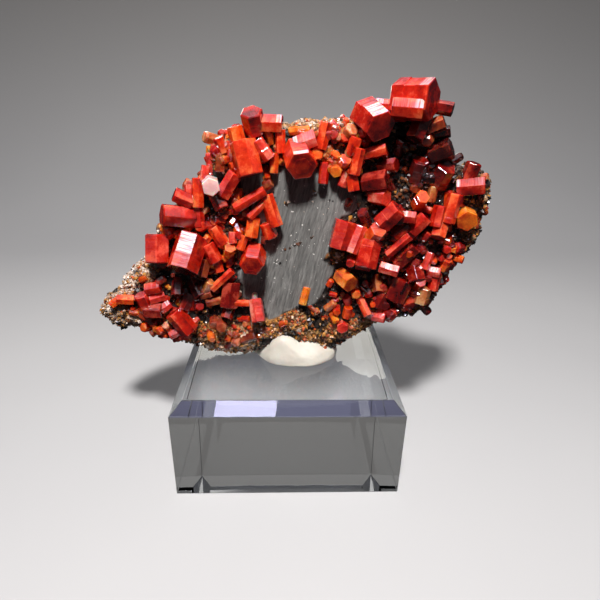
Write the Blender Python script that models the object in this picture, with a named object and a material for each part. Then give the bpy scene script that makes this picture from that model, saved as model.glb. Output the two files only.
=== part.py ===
"""Vanadinite crystals on a slab of dark matrix, stuck upright on a clear display block.

Metres, +Z up.  The origin is the centre of the block's underside, the specimen's face looks along -Y.
"""

from math import cos, radians, sin

import bmesh
import bpy
from mathutils import Matrix, Vector, noise
from mathutils.bvhtree import BVHTree

MM = 0.001

# Display block: two inches square, cut from a nominal one inch acrylic sheet.
BLOCK_SIDE = 50.8 * MM
BLOCK_HEIGHT = 24.0 * MM
BLOCK_BEVEL = 2.6 * MM

# Clear gap kept between pieces that touch.
GAP = 0.3 * MM

# Mineral tack: a pressed lump under the foot of the slab.
TACK_CENTRE = Vector((2.0, -0.6, 24.3)) * MM
TACK_RADII = Vector((10.6, 9.0, 6.0)) * MM

# The specimen is set out on a front drawing: u to the right and v up from the block's top, both in
# millimetres, on the upright plane of the slab's face.  The drawing is a perspective one, seen from
# STATION, so a point that stands out from the face lies on the sight line through its place on it.
STATION = Vector((-0.9, -107.0, 85.2)) * MM
FACE_Y = -6.0 * MM

# Outline of the slab on the front drawing, clockwise from its left tip.
OUTLINE = [
    (-43.4, 12.4), (-41.6, 16.6), (-38.2, 18.0), (-35.6, 22.0), (-32.6, 24.6), (-30.0, 28.0),
    (-28.0, 32.6), (-25.4, 36.2), (-22.4, 39.2), (-19.4, 42.6), (-17.2, 46.2), (-16.2, 49.6),
    (-13.6, 51.8), (-9.4, 53.4), (-4.6, 53.4), (0.2, 53.8), (4.6, 54.4), (8.6, 55.0),
    (13.6, 54.6), (18.4, 55.6), (23.4, 57.2), (27.8, 56.4), (30.6, 53.6), (32.2, 50.0),
    (34.6, 46.6), (39.2, 46.2), (42.6, 43.6), (43.0, 39.6), (42.0, 35.0), (41.0, 30.8),
    (39.4, 27.4), (35.8, 24.2), (34.6, 20.0), (33.6, 15.6), (30.2, 12.9), (25.2, 12.2),
    (20.6, 10.0), (16.0, 7.4), (11.6, 3.6), (5.6, 2.4), (-1.6, 2.6), (-8.4, 2.4),
    (-15.0, 2.6), (-20.6, 3.4), (-26.2, 5.0), (-31.2, 6.8), (-35.4, 9.2), (-40.2, 9.0),
]
OUTLINE_Y = -4.4 * MM
SLAB_CENTRE = (-1.0, 29.0)

# The slab from front to back: how far out towards its outline a ring lies, and the ring's y in
# millimetres.
SLAB_RINGS = [
    (0.16, -6.1), (0.36, -6.1), (0.55, -6.1), (0.73, -6.1), (0.88, -5.9), (0.97, -5.2), (1.0, -3.9),
    (0.985, -1.0), (0.94, 2.2), (0.84, 5.0), (0.64, 6.7), (0.38, 7.4), (0.14, 7.6),
]

# Swells and hollows of the slab's face: u, v, radius, rise towards the front, in millimetres.
RELIEF = [
    (24.0, 47.5, 8.0, -3.2),
    (27.0, 22.0, 8.0, -1.8),
    (-19.0, 17.0, 7.0, -2.0),
    (-30.0, 14.0, 6.0, -0.8),
    (5.0, 8.0, 6.0, 0.9),
    (-12.0, 6.0, 7.0, 0.7),
    (-8.0, 21.0, 4.0, -1.2),
    (12.0, 52.0, 5.0, 0.8),
]

# Broken surface of the slab: how far it rises or falls, and how broad its lumps are.  The face is
# smoother than the edges and the back.
ROUGHNESS = 1.3 * MM
FACE_ROUGHNESS = 0.25 * MM
LUMP_SIZE = 8.0 * MM

# Crystals, by the part of the slab that they grow on.  Each row gives the middle of a six-sided
# prism: u and v on the drawing, how far it stands out from the face along the sight line, the
# radius to its corners and its length as drawn, the lean of its long axis from upright (clockwise),
# the tip of its upper end towards the front, and the turn about its axis from FACING.
# Millimetres and degrees.
FACING = Vector((0.0, -0.74, 0.67))
CRYSTALS = {
    "crown": [
        (24.6, 59.4, 2.0, 4.35, 7.9, 88, 24, 20),
        (23.4, 57.7, 5.2, 2.3, 6.2, 93, 2, 0),
        (16.6, 55.7, 2.0, 3.7, 7.1, 128, 50, 0),
        (18.5, 58.4, 0.4, 1.3, 3.2, 92, 0, 0),
        (30.4, 58.0, 1.4, 1.5, 4.1, 98, 8, 20),
        (26.2, 54.3, 2.2, 2.25, 5.3, 198, 24, 20),
        (29.2, 54.6, 1.0, 1.75, 4.3, 66, 6, 14),
        (31.0, 53.4, 0.0, 1.3, 3.2, 78, 0, 20),
        (31.2, 49.6, 0.4, 2.4, 4.7, 66, 10, 20),
    ],
    "pit": [
        (20.5, 46.6, 0.6, 1.65, 4.1, 80, 30, 10),
        (18.3, 43.4, 1.2, 2.5, 5.5, 78, 22, 6),
        (19.2, 40.2, 1.4, 1.95, 4.1, 96, 34, 6),
        (17.0, 49.2, 2.0, 1.4, 6.0, 74, 8, 8),
        (22.6, 50.6, -1.0, 1.65, 3.8, 20, 30, 10),
    ],
    "column": [
        (14.0, 47.4, 3.0, 1.4, 5.5, 10, 2, 12),
        (13.2, 43.6, 2.2, 1.5, 4.7, 166, 6, 14),
        (11.6, 43.9, 1.4, 1.2, 3.4, 20, 6, 14),
        (11.1, 47.1, 1.6, 1.4, 3.4, 30, 52, 20),
        (13.0, 50.5, 1.8, 1.55, 3.9, 18, 8, 20),
        (11.8, 52.9, 0.8, 1.6, 3.6, 40, 46, 10),
        (6.8, 52.4, 1.0, 1.5, 5.3, 12, 0, 12),
        (7.2, 45.0, 1.2, 1.15, 4.5, 4, -4, 0),
    ],
    "brow": [
        (1.9, 48.0, 2.4, 3.45, 6.6, 160, 58, 0),
        (3.2, 51.2, 1.0, 2.15, 4.7, 70, 6, 0),
        (2.6, 53.2, -0.4, 1.2, 3.0, 84, 6, 12),
        (-1.9, 51.2, 1.0, 1.1, 4.7, 0, 0, 10),
        (-3.8, 54.5, 0.8, 2.05, 4.7, 91, 8, 0),
        (-7.3, 54.9, 0.8, 2.4, 4.9, -12, 34, 8),
        (-10.6, 51.8, 1.0, 1.75, 4.5, -14, 4, 10),
        (-8.9, 47.8, 2.8, 3.0, 7.1, -12, -6, 18),
        (-5.4, 49.6, 2.4, 1.5, 4.5, -34, 4, 6),
        (-3.2, 46.9, 1.4, 1.05, 4.1, 4, 0, 14),
    ],
    "shoulder": [
        (-16.5, 42.2, 3.0, 2.05, 5.6, 176, 82, 30),
        (-12.7, 42.4, 2.0, 1.95, 5.8, 34, 12, 8),
        (-14.9, 39.2, 1.6, 1.85, 4.3, 160, 10, 12),
        (-19.3, 40.6, 0.8, 1.45, 6.2, 4, 0, 10),
        (-17.6, 44.6, 0.6, 1.0, 3.4, 10, 0, 10),
        (-14.4, 46.8, 0.6, 1.1, 3.6, 4, 0, 10),
        (-13.9, 50.3, 0.2, 1.2, 3.2, -20, 10, 10),
        (-21.0, 40.9, 0.2, 1.1, 2.8, 0, 0, 0),
        (-22.4, 39.5, 1.2, 1.8, 4.3, -64, 6, 4),
    ],
    "bars": [
        (-8.4, 39.3, 2.4, 1.3, 7.7, 60, 6, 10),
        (-6.9, 37.1, 1.8, 1.0, 4.9, 46, 4, 6),
        (-3.9, 36.9, 1.6, 1.7, 7.1, -18, 2, 16),
        (-4.4, 32.6, 1.6, 1.65, 3.6, -20, 12, 10),
        (-8.0, 33.3, 1.2, 1.65, 4.5, 10, 4, 16),
    ],
    "flank": [
        (-23.9, 35.6, 1.6, 2.7, 7.0, -82, 14, 4),
        (-19.4, 35.6, 1.0, 1.4, 4.9, 0, 0, 12),
        (-29.1, 28.3, 1.8, 3.0, 6.4, 6, 2, 16),
        (-22.5, 27.2, 3.4, 3.7, 8.3, 22, -14, 0),
        (-19.2, 23.8, 1.8, 1.6, 4.1, 18, 4, 14),
        (-25.4, 19.2, 0.4, 1.5, 4.1, 188, 14, 14),
        (-21.0, 18.9, 0.0, 1.75, 4.5, 160, 14, 14),
    ],
    "cluster": [
        (-15.4, 31.3, 1.2, 1.65, 4.5, -30, 6, 10),
        (-17.1, 27.3, 2.0, 1.8, 4.5, -24, 6, 8),
        (-13.3, 27.9, 1.6, 1.5, 3.2, 20, 60, 10),
        (-16.0, 24.6, 1.4, 1.15, 3.6, -14, 4, 12),
        (-10.3, 29.8, 1.2, 1.25, 3.4, 20, 6, 8),
        (-8.0, 26.0, 3.0, 3.05, 6.0, 196, 56, 0),
        (-15.2, 20.9, 1.6, 1.05, 6.8, 50, 18, 12),
        (-18.5, 19.4, 1.2, 1.2, 3.2, 30, 40, 8),
        (-18.9, 17.4, 0.8, 1.2, 2.8, 80, 20, 8),
        (-13.6, 17.3, 0.2, 2.4, 6.0, 10, 10, 14),
        (-12.3, 30.9, 1.6, 1.0, 2.6, 2, 0, 0),
        (-18.3, 30.3, 1.0, 1.1, 2.8, 40, 20, 0),
        (-23.4, 15.6, 0.0, 1.6, 4.2, 30, 10, 12),
    ],
    "foot": [
        (-7.4, 13.2, 1.8, 1.85, 5.5, 172, 6, 16),
        (-10.9, 15.1, 1.2, 0.95, 3.4, 92, 4, 18),
        (-14.0, 13.2, 0.4, 1.5, 4.1, 200, 10, 12),
        (-17.4, 15.5, 0.8, 1.05, 3.6, 80, 4, 10),
    ],
    "tip": [
        (-30.9, 18.9, 0.8, 1.65, 3.6, 84, 20, 4),
        (-37.7, 15.9, 0.6, 1.4, 3.9, 100, 4, 10),
        (-39.9, 15.4, 0.2, 1.1, 3.0, 60, 4, 10),
        (-33.4, 15.3, 1.2, 1.85, 4.5, -20, 30, 8),
        (-31.4, 13.2, 1.4, 2.15, 4.5, 100, 20, 14),
        (-30.3, 16.4, 0.8, 1.3, 3.6, 80, 4, 8),
        (-28.7, 14.1, 1.2, 1.3, 3.0, 60, 8, 4),
        (-25.2, 10.2, 1.8, 2.5, 6.4, -35, 12, 6),
        (-27.0, 7.2, 1.4, 1.25, 3.0, 70, 8, 6),
        (-24.7, 6.4, 1.2, 1.1, 2.8, 100, 20, 10),
    ],
    "middle": [
        (11.7, 31.8, 1.8, 2.7, 6.4, 12, 6, 18),
        (14.8, 30.7, 2.8, 1.5, 6.4, 18, -2, 6),
        (18.7, 31.8, 2.4, 2.15, 4.7, 36, 46, 4),
        (17.7, 27.3, 3.0, 2.8, 6.4, 8, -4, 18),
        (16.9, 24.5, 3.4, 1.15, 3.4, 98, 0, 0),
        (13.9, 25.8, 2.4, 1.1, 3.2, 180, 62, 30),
        (22.9, 23.8, 2.2, 1.6, 4.5, 102, 4, 0),
        (24.4, 29.4, 2.0, 1.15, 6.6, 44, 2, 10),
        (12.9, 21.2, 1.4, 2.3, 4.7, 128, 40, 6),
    ],
    "right": [
        (21.8, 36.1, 2.2, 2.6, 5.5, 42, 14, 8),
        (25.9, 35.9, 2.4, 1.6, 3.6, 92, 4, 0),
        (28.4, 34.4, 1.2, 1.95, 4.7, 40, 10, 14),
        (28.1, 39.4, 1.2, 1.75, 4.1, 30, 56, 10),
        (30.5, 41.0, 0.2, 1.2, 3.4, 6, 10, 10),
        (32.5, 36.1, 2.0, 1.65, 4.7, 5, 0, 4),
        (35.2, 37.9, 1.6, 1.8, 6.4, 9, 2, 14),
        (33.2, 33.0, 2.2, 1.85, 3.6, 8, -20, 32),
        (38.6, 35.8, 0.8, 2.5, 4.3, 150, 66, 10),
        (38.7, 42.6, 1.0, 2.15, 5.8, 80, 4, 0),
        (38.1, 45.6, -0.8, 1.75, 4.1, 14, 10, 14),
        (26.9, 45.8, 0.4, 1.85, 5.1, 12, 34, 10),
        (32.0, 44.8, 0.2, 2.5, 4.9, 24, 30, 12),
    ],
    "heel": [
        (36.4, 28.8, 0.0, 1.0, 2.8, 100, 20, 10),
        (38.3, 26.4, -0.2, 1.0, 2.6, 100, 10, 10),
        (35.7, 24.9, 0.2, 1.3, 3.0, 20, 30, 10),
        (31.5, 25.8, 1.0, 1.05, 4.1, 12, 2, 10),
        (33.2, 23.2, 0.8, 1.4, 3.2, 94, 4, 0),
        (33.7, 20.8, 0.6, 1.4, 4.5, 5, 4, 10),
        (30.2, 20.0, 1.4, 1.4, 3.4, 30, 60, 10),
        (31.3, 17.4, 1.0, 1.95, 4.1, 10, 20, 10),
        (21.5, 11.6, 0.6, 1.4, 3.2, 96, 10, 6),
        (24.2, 12.9, 0.2, 1.3, 3.2, 80, 10, 10),
        (17.6, 14.7, 1.0, 1.2, 5.5, 150, 6, 8),
        (25.4, 18.8, 0.0, 2.8, 5.6, 20, 10, 14),
        (28.8, 23.4, 0.0, 2.25, 5.3, 160, 12, 14),
        (25.8, 27.8, -0.4, 2.6, 5.8, 40, 10, 14),
        (20.3, 20.2, 0.0, 1.5, 4.0, 168, 10, 10),
        (21.4, 16.4, 0.2, 1.7, 4.2, 24, 12, 12),
        (28.8, 15.4, -0.2, 1.8, 4.4, 62, 14, 10),
        (24.6, 33.2, 0.2, 1.8, 4.2, 50, 10, 10),
    ],
    "back": [
        (22.4, 51.0, -12.6, 2.3, 4.8, 34, -30, 10),
        (27.4, 46.6, -12.8, 1.6, 4.0, 80, -14, 10),
        (10.4, 48.6, -13.0, 1.7, 4.2, 70, -12, 16),
        (-8.6, 46.8, -12.8, 2.0, 4.6, -40, -26, 10),
        (-13.4, 43.6, -12.4, 1.4, 3.8, 12, -16, 10),
        (34.4, 37.6, -12.2, 1.8, 4.2, 100, -24, 10),
        (-21.6, 30.0, -12.8, 1.9, 4.6, -70, -20, 10),
    ],
    "scatter": [
        (3.7, 17.0, 0.6, 1.05, 4.3, 14, 4, 10),
        (13.9, 12.8, 0.8, 1.15, 3.0, 10, 30, 10),
        (13.0, 9.2, 1.0, 1.6, 3.2, 180, 70, 20),
    ],
}

# Crystals above this radius have a narrow bevel round both ends, as a share of the radius.
BEVELLED_RADIUS = 1.9 * MM
END_BEVEL = 0.16

# Two crystals have grown together where their axes pass nearer than this share of both radii.
GROWN_TOGETHER = 0.66
AXIS_STEPS = 8

COLOURS = {
    "clear_acrylic": ((0.86, 0.90, 0.90), 0.04),
    "tack_cream": ((0.80, 0.78, 0.71), 0.45),
    "dark_rock": ((0.13, 0.12, 0.12), 0.75),
    "vanadinite_red": ((0.46, 0.03, 0.015), 0.18),
}


def new_collection(name):
    """Return a new collection in the scene."""
    collection = bpy.data.collections.new(name)
    bpy.context.scene.collection.children.link(collection)
    return collection


def new_material(name):
    """Return a Principled material with the colour and roughness listed for it."""
    colour, roughness = COLOURS[name]
    material = bpy.data.materials.new(name)
    material.use_nodes = True
    shader = material.node_tree.nodes["Principled BSDF"]
    shader.inputs["Base Color"].default_value = (*colour, 1.0)
    shader.inputs["Roughness"].default_value = roughness
    shader.inputs["Metallic"].default_value = 0.0
    return material


def add_object(name, mesh, collection, material=None):
    """Put a mesh in a collection as a new object."""
    thing = bpy.data.objects.new(name, mesh)
    collection.objects.link(thing)
    if material:
        mesh.materials.clear()
        mesh.materials.append(material)
    return thing


def mesh_from(bm, name):
    """Turn a bmesh into a mesh with its faces pointing out."""
    bmesh.ops.recalc_face_normals(bm, faces=bm.faces)
    mesh = bpy.data.meshes.new(name)
    bm.to_mesh(mesh)
    bm.free()
    return mesh


def hide_as_cutter(thing):
    """Show an object as a wire guide that isn't part of the specimen."""
    thing.hide_render = True
    thing.display_type = "WIRE"


def add_boolean(thing, operation, other):
    """Add an exact Boolean modifier."""
    modifier = thing.modifiers.new(operation.lower(), "BOOLEAN")
    modifier.operation = operation
    modifier.solver = "EXACT"
    modifier.object = other
    return modifier


def on_drawing(u, v, y):
    """Return the point at depth y on the sight line through (u, v) of the drawing."""
    face_point = Vector((u * MM, FACE_Y, BLOCK_HEIGHT + v * MM))
    sight = face_point - STATION
    return STATION + sight * ((y - STATION.y) / sight.y)


def face_relief(u, v):
    """Return how far the slab's face swells forward at (u, v), in metres."""
    rise = 0.0
    for centre_u, centre_v, radius, height in RELIEF:
        away = ((u - centre_u) ** 2 + (v - centre_v) ** 2) / radius ** 2
        rise += height * max(0.0, 1.0 - away) ** 2
    return rise * MM


def build_block(collection):
    """Clear block: a cube with a 45 degree bevel round its top edges."""
    bm = bmesh.new()
    bmesh.ops.create_cube(bm, size=1.0)
    bmesh.ops.scale(bm, vec=(BLOCK_SIDE, BLOCK_SIDE, BLOCK_HEIGHT), verts=bm.verts)
    bmesh.ops.translate(bm, vec=(0.0, 0.0, BLOCK_HEIGHT / 2), verts=bm.verts)
    top_edges = [edge for edge in bm.edges if all(vert.co.z > BLOCK_HEIGHT / 2 for vert in edge.verts)]
    bmesh.ops.bevel(bm, geom=top_edges, offset=BLOCK_BEVEL, segments=1, affect="EDGES")
    return add_object("acrylic_block", mesh_from(bm, "acrylic_block"), collection,
                      new_material("clear_acrylic"))


def build_slab_mesh(grow=0.0):
    """Loft the slab through its rings; grow moves its surface out along its normals."""
    bm = bmesh.new()
    centre_u, centre_v = SLAB_CENTRE
    rings = []
    for share, depth in SLAB_RINGS:
        ring = []
        for edge_u, edge_v in OUTLINE:
            u = centre_u + (edge_u - centre_u) * share
            v = centre_v + (edge_v - centre_v) * share
            flat = on_drawing(u, v, OUTLINE_Y)
            front = depth * MM
            if depth < 0.0:
                front -= face_relief(u, v) * (1.0 - share ** 4)
            ring.append(bm.verts.new((flat.x, front, flat.z)))
        rings.append(ring)
    for ring, following in zip(rings, rings[1:]):
        for index in range(len(ring)):
            after = (index + 1) % len(ring)
            bm.faces.new((ring[index], ring[after], following[after], following[index]))
    for ring in (rings[0], rings[-1]):
        middle = sum((vert.co for vert in ring), Vector()) / len(ring)
        hub = bm.verts.new(middle)
        for index, vert in enumerate(ring):
            bm.faces.new((vert, ring[index - 1], hub))
    bmesh.ops.triangulate(bm, faces=bm.faces[:])
    bmesh.ops.recalc_face_normals(bm, faces=bm.faces)
    bm.normal_update()
    for vert in bm.verts:
        on_face = vert.co.y < OUTLINE_Y and vert.normal.y < -0.7
        roughness = FACE_ROUGHNESS if on_face else ROUGHNESS
        vert.co += vert.normal * roughness * noise.noise(vert.co / LUMP_SIZE)
    bm.normal_update()
    for vert in bm.verts:
        vert.co += vert.normal * grow
    return mesh_from(bm, "matrix")


def build_tack(collection, slab_cutter):
    """Tack: the upper half of a flattened ball, with the slab's foot pressed into it."""
    bm = bmesh.new()
    bmesh.ops.create_uvsphere(bm, u_segments=24, v_segments=12, radius=1.0)
    below = [vert for vert in bm.verts if vert.co.z < -0.01]
    bmesh.ops.delete(bm, geom=below, context="VERTS")
    rim = [edge for edge in bm.edges if edge.is_boundary]
    bmesh.ops.contextual_create(bm, geom=rim)
    bmesh.ops.scale(bm, vec=TACK_RADII, verts=bm.verts)
    bmesh.ops.translate(bm, vec=TACK_CENTRE, verts=bm.verts)
    tack = add_object("mineral_tack", mesh_from(bm, "mineral_tack"), collection,
                      new_material("tack_cream"))
    add_boolean(tack, "DIFFERENCE", slab_cutter)
    return tack


class Prism:
    """One crystal's six-sided prism, placed from its row."""

    def __init__(self, name, row):
        u, v, out, radius, length, lean, tip, turn = row
        face_point = on_drawing(u, v, FACE_Y)
        sight = (face_point - STATION).normalized()
        across = sight.cross(Vector((0.0, 0.0, 1.0))).normalized()
        up = across.cross(sight)
        lean, tip, turn = radians(lean), radians(tip), radians(turn)
        self.name = name
        self.middle = face_point - sight * out * MM
        # What stands nearer to the station is drawn larger, so its true size is below its drawn one.
        true_size = (self.middle - STATION).length / (face_point - STATION).length * MM
        self.radius = radius * true_size
        self.length = length * true_size
        self.axis = (across * sin(lean) + up * cos(lean)) * cos(tip) - sight * sin(tip)
        front = (FACING - self.axis * FACING.dot(self.axis)).normalized()
        side = self.axis.cross(front)
        placing = Matrix((side, front, self.axis)).transposed().to_4x4()
        self.placing = Matrix.Translation(self.middle) @ placing @ Matrix.Rotation(turn, 4, "Z")

    def mesh(self, grow=0.0):
        """Return the prism's mesh, with its faces moved out by grow."""
        bm = bmesh.new()
        radius = self.radius + grow / cos(radians(30))
        bmesh.ops.create_cone(bm, segments=6, radius1=radius, radius2=radius,
                              depth=self.length + 2 * grow, cap_ends=True)
        if self.radius > BEVELLED_RADIUS and not grow:
            rims = [edge for edge in bm.edges if abs(edge.verts[0].co.z - edge.verts[1].co.z) < GAP]
            bmesh.ops.bevel(bm, geom=rims, offset=radius * END_BEVEL, segments=1, affect="EDGES")
        bmesh.ops.transform(bm, matrix=self.placing, verts=bm.verts)
        return mesh_from(bm, self.name)

    def axis_points(self):
        """Return points along the long axis, from end to end."""
        steps = [index / AXIS_STEPS - 0.5 for index in range(AXIS_STEPS + 1)]
        return [self.middle + self.axis * self.length * step for step in steps]

    def nearness(self, other):
        """Return how far apart two axes pass, as a share of both radii together."""
        between = min((here - there).length
                      for here in self.axis_points() for there in other.axis_points())
        return between / (self.radius + other.radius)


def surfaces_outside_slab(prisms, grow, cutters, slab_cutter):
    """Return each prism's surface outside the slab, with its faces moved out by grow."""
    guides = []
    for prism in prisms:
        guide = add_object(f"guide_{prism.name}", prism.mesh(grow), cutters)
        hide_as_cutter(guide)
        add_boolean(guide, "DIFFERENCE", slab_cutter)
        guides.append(guide)
    depsgraph = bpy.context.evaluated_depsgraph_get()
    return [BVHTree.FromObject(guide, depsgraph) for guide in guides]


def group_grown_together(prisms, surfaces):
    """Number the groups of prisms that have grown deep into each other."""
    group_of = list(range(len(prisms)))
    for first in range(len(prisms)):
        for second in range(first):
            deep = prisms[first].nearness(prisms[second]) < GROWN_TOGETHER
            if deep and surfaces[first].overlap(surfaces[second]):
                old, new = group_of[first], group_of[second]
                group_of = [new if number == old else number for number in group_of]
    return group_of


def build_crystals(collection, cutters, slab_cutter):
    """Build every crystal, and join those that have grown into each other.

    A crystal that only brushes a larger one of another group stops short of it.
    """
    material = new_material("vanadinite_red")
    prisms = []
    for place, rows in CRYSTALS.items():
        for number, row in enumerate(rows, start=1):
            prisms.append(Prism(f"{place}_crystal_{number}", row))
    surfaces = surfaces_outside_slab(prisms, 0.0, cutters, slab_cutter)
    swollen = surfaces_outside_slab(prisms, GAP, cutters, slab_cutter)
    group_of = group_grown_together(prisms, surfaces)
    crystals = {}
    for prism, group in zip(prisms, group_of):
        if group not in crystals:
            crystals[group] = add_object(prism.name, prism.mesh(), collection, material)
        else:
            crystals[group].name = crystals[group].name.replace("crystal_", "crystals_")
            joined = add_object(f"joined_{prism.name}", prism.mesh(), cutters)
            hide_as_cutter(joined)
            add_boolean(crystals[group], "UNION", joined)
    for crystal in crystals.values():
        add_boolean(crystal, "DIFFERENCE", slab_cutter)
    by_size = sorted(range(len(prisms)), key=lambda index: prisms[index].radius)
    for rank, smaller in enumerate(by_size):
        for larger in by_size[rank + 1:]:
            if group_of[smaller] != group_of[larger] and swollen[larger].overlap(surfaces[smaller]):
                room = add_object(f"room_{prisms[larger].name}", prisms[larger].mesh(GAP), cutters)
                hide_as_cutter(room)
                add_boolean(crystals[group_of[smaller]], "DIFFERENCE", room)


def main():
    """Build the specimen and its block."""
    for thing in list(bpy.data.objects):
        bpy.data.objects.remove(thing, do_unlink=True)
    parts = new_collection("vanadinite_on_matrix")
    cutters = new_collection("cutters")
    build_block(parts)
    slab = add_object("matrix", build_slab_mesh(), parts, new_material("dark_rock"))
    slab.data.name = "matrix"
    slab_cutter = add_object("slab_with_gap", build_slab_mesh(GAP), cutters)
    hide_as_cutter(slab_cutter)
    build_tack(parts, slab_cutter)
    build_crystals(parts, cutters, slab_cutter)


main()
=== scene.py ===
# %% [markdown]
# # Vanadinite crystals on their rock, stood on a clear block
#
# The object is a hand-sized slab of dark rock.  Its front bears a patch of bare grey slate, a brown
# crust along the foot, and more than a hundred six-sided crystals in red and orange.  A lump of
# cream tack holds it upright on a square block of clear acrylic.
#
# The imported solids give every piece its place.  Each cell below makes one piece or one finish, and
# prints what it made, so the script can be read from top to bottom.

# %% Load the solids
from math import cos, pi, radians, sin, sqrt

import bmesh
import bpy
import numpy as np
from mathutils import Matrix, Vector, noise
from mathutils.bvhtree import BVHTree


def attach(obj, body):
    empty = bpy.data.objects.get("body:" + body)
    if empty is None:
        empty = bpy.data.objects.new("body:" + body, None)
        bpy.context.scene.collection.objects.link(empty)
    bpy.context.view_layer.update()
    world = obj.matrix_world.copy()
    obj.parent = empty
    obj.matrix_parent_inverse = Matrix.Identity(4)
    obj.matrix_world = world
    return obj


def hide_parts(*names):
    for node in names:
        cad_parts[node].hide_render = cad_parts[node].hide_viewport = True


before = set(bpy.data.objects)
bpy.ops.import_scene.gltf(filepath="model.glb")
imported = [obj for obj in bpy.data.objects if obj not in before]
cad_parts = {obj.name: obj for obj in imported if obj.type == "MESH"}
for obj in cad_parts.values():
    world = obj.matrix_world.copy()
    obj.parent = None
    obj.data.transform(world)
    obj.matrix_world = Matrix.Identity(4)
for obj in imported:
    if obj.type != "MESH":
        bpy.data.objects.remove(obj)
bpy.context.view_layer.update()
MM = 0.001
print("solids:", len(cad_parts))

# %% [markdown]
# ## The drawing
#
# The crystals are set out on an upright drawing of the slab's front, as in the solids: u runs to the
# right and v up from the top of the block, both in millimetres.  It is a perspective drawing, seen
# from one station, so a point that stands out from the face lies on the sight line through its
# place.  The pieces could be placed in space directly, but then each would have to be moved again
# whenever its depth changes.  Two small functions go from the drawing to space and back.

# %% The drawing and the station
BLOCK_SIDE = 50.8 * MM
BLOCK_HEIGHT = 24.0 * MM
BLOCK_BEVEL = 2.6 * MM
FACE_Y = -6.0 * MM
STATION = Vector((-0.9, -107.0, 85.2)) * MM


def on_drawing(u, v, y):
    """Return the point at depth y on the sight line through (u, v)."""
    sight = Vector((u * MM, FACE_Y, BLOCK_HEIGHT + v * MM)) - STATION
    return STATION + sight * ((y - STATION.y) / sight.y)


def drawn_place(points):
    """Return u and v, in millimetres, for an array of points."""
    share = (FACE_Y - STATION.y) / (points[:, 1] - STATION.y)
    u = STATION.x + (points[:, 0] - STATION.x) * share
    v = STATION.z + (points[:, 2] - STATION.z) * share - BLOCK_HEIGHT
    return u / MM, v / MM


print("station, mm:", [round(part / MM, 1) for part in STATION])

# %% [markdown]
# ## Camera
#
# The camera looks slightly down on the specimen from close by.  Its lens is given in millimetres for
# a 36 mm wide sensor.  A constraint could aim it at a point, but would keep it level, and this view
# is tilted a little.  So it is turned by yaw, pitch and roll, as a matrix of its three axes.

# %% Camera
CAMERA_PLACE = Vector((-0.91, -107.045, 85.202)) * MM
YAW, PITCH, ROLL = radians(-2.028), radians(24.098), radians(1.049)
LENS, SENSOR_WIDTH = 28.458, 36.0
camera = bpy.data.objects.new("camera", bpy.data.cameras.new("camera"))
bpy.context.scene.collection.objects.link(camera)
camera.data.lens, camera.data.sensor_width = LENS, SENSOR_WIDTH
camera.data.clip_start = 5 * MM
ahead = Vector((-sin(YAW) * cos(PITCH), cos(YAW) * cos(PITCH), -sin(PITCH)))
level = Vector((cos(YAW), sin(YAW), 0.0))
upward = level.cross(ahead)
right_axis = level * cos(ROLL) + upward * sin(ROLL)
up_axis = upward * cos(ROLL) - level * sin(ROLL)
turned = Matrix((right_axis, up_axis, -ahead)).transposed().to_4x4()
camera.matrix_world = Matrix.Translation(CAMERA_PLACE) @ turned
bpy.context.scene.camera = camera
print("camera looks", [round(part, 3) for part in ahead])

# %% [markdown]
# ## Node helpers
#
# Materials here are small node trees.  One helper adds a shader node, sets its options, and fills or
# links its inputs, so that a tree reads as a short list.  The others are the three steps that every
# finish here repeats: mix two colours, stretch a range of numbers, and set a shader's own sockets.


# %% Node helpers
# The Mix node keeps sockets for every kind of data: these are the ones for colours.
MIX_SHARE, MIX_FIRST, MIX_SECOND, MIX_RESULT = 0, 6, 7, 2


def new_material(name):
    """Return a material with its node tree and its Principled shader."""
    material = bpy.data.materials.new(name)
    material.use_nodes = True
    return material, material.node_tree, material.node_tree.nodes["Principled BSDF"]


def add_node(tree, kind, inputs=None, **options):
    """Add a shader node; inputs maps a socket's name or number to a value or to another socket."""
    node = tree.nodes.new("ShaderNode" + kind)
    for name, value in options.items():
        setattr(node, name, value)
    for name, value in (inputs or {}).items():
        if isinstance(value, bpy.types.NodeSocket):
            tree.links.new(value, node.inputs[name])
        else:
            node.inputs[name].default_value = value
    return node


def mix_colours(tree, share, first, second, blend="MIX"):
    """Return the socket of two colours mixed by a share."""
    node = add_node(tree, "Mix", data_type="RGBA", blend_type=blend)
    for number, value in ((MIX_SHARE, share), (MIX_FIRST, first), (MIX_SECOND, second)):
        if isinstance(value, bpy.types.NodeSocket):
            tree.links.new(value, node.inputs[number])
        else:
            node.inputs[number].default_value = value if number == MIX_SHARE else (*value, 1.0)
    return node.outputs[MIX_RESULT]


def ramp(tree, share, low, high, start=0.0, end=1.0):
    """Return the socket of a number moved from the range low..high to start..end."""
    node = add_node(tree, "MapRange", {"Value": share, "From Min": low, "From Max": high,
                                       "To Min": start, "To Max": end})
    return node.outputs["Result"]


def fill(shader, **values):
    """Set a Principled shader's own sockets; underscores in the names stand for spaces."""
    for name, value in values.items():
        shader.inputs[name.replace("_", " ")].default_value = value


# %% [markdown]
# ## Pieces and meshes
#
# Every mesh enters the scene in the same way: it rides on the one body, names the material slot it
# belongs to, and says which solids it stands for.  Modifiers could be left on a piece, but here they
# are applied at once, because the next step needs the finished points as an array.


# %% Piece and mesh helpers
def add_piece(name, mesh, materials, replaced=()):
    """Put a finished mesh in the scene as a piece that rides on the root body."""
    piece = bpy.data.objects.new(name, mesh)
    bpy.context.scene.collection.objects.link(piece)
    mesh.materials.clear()
    for material in materials:
        mesh.materials.append(material)
    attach(piece, "root")
    if replaced:
        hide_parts(*replaced)
    print(name, len(mesh.polygons), "faces")
    return piece


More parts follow.
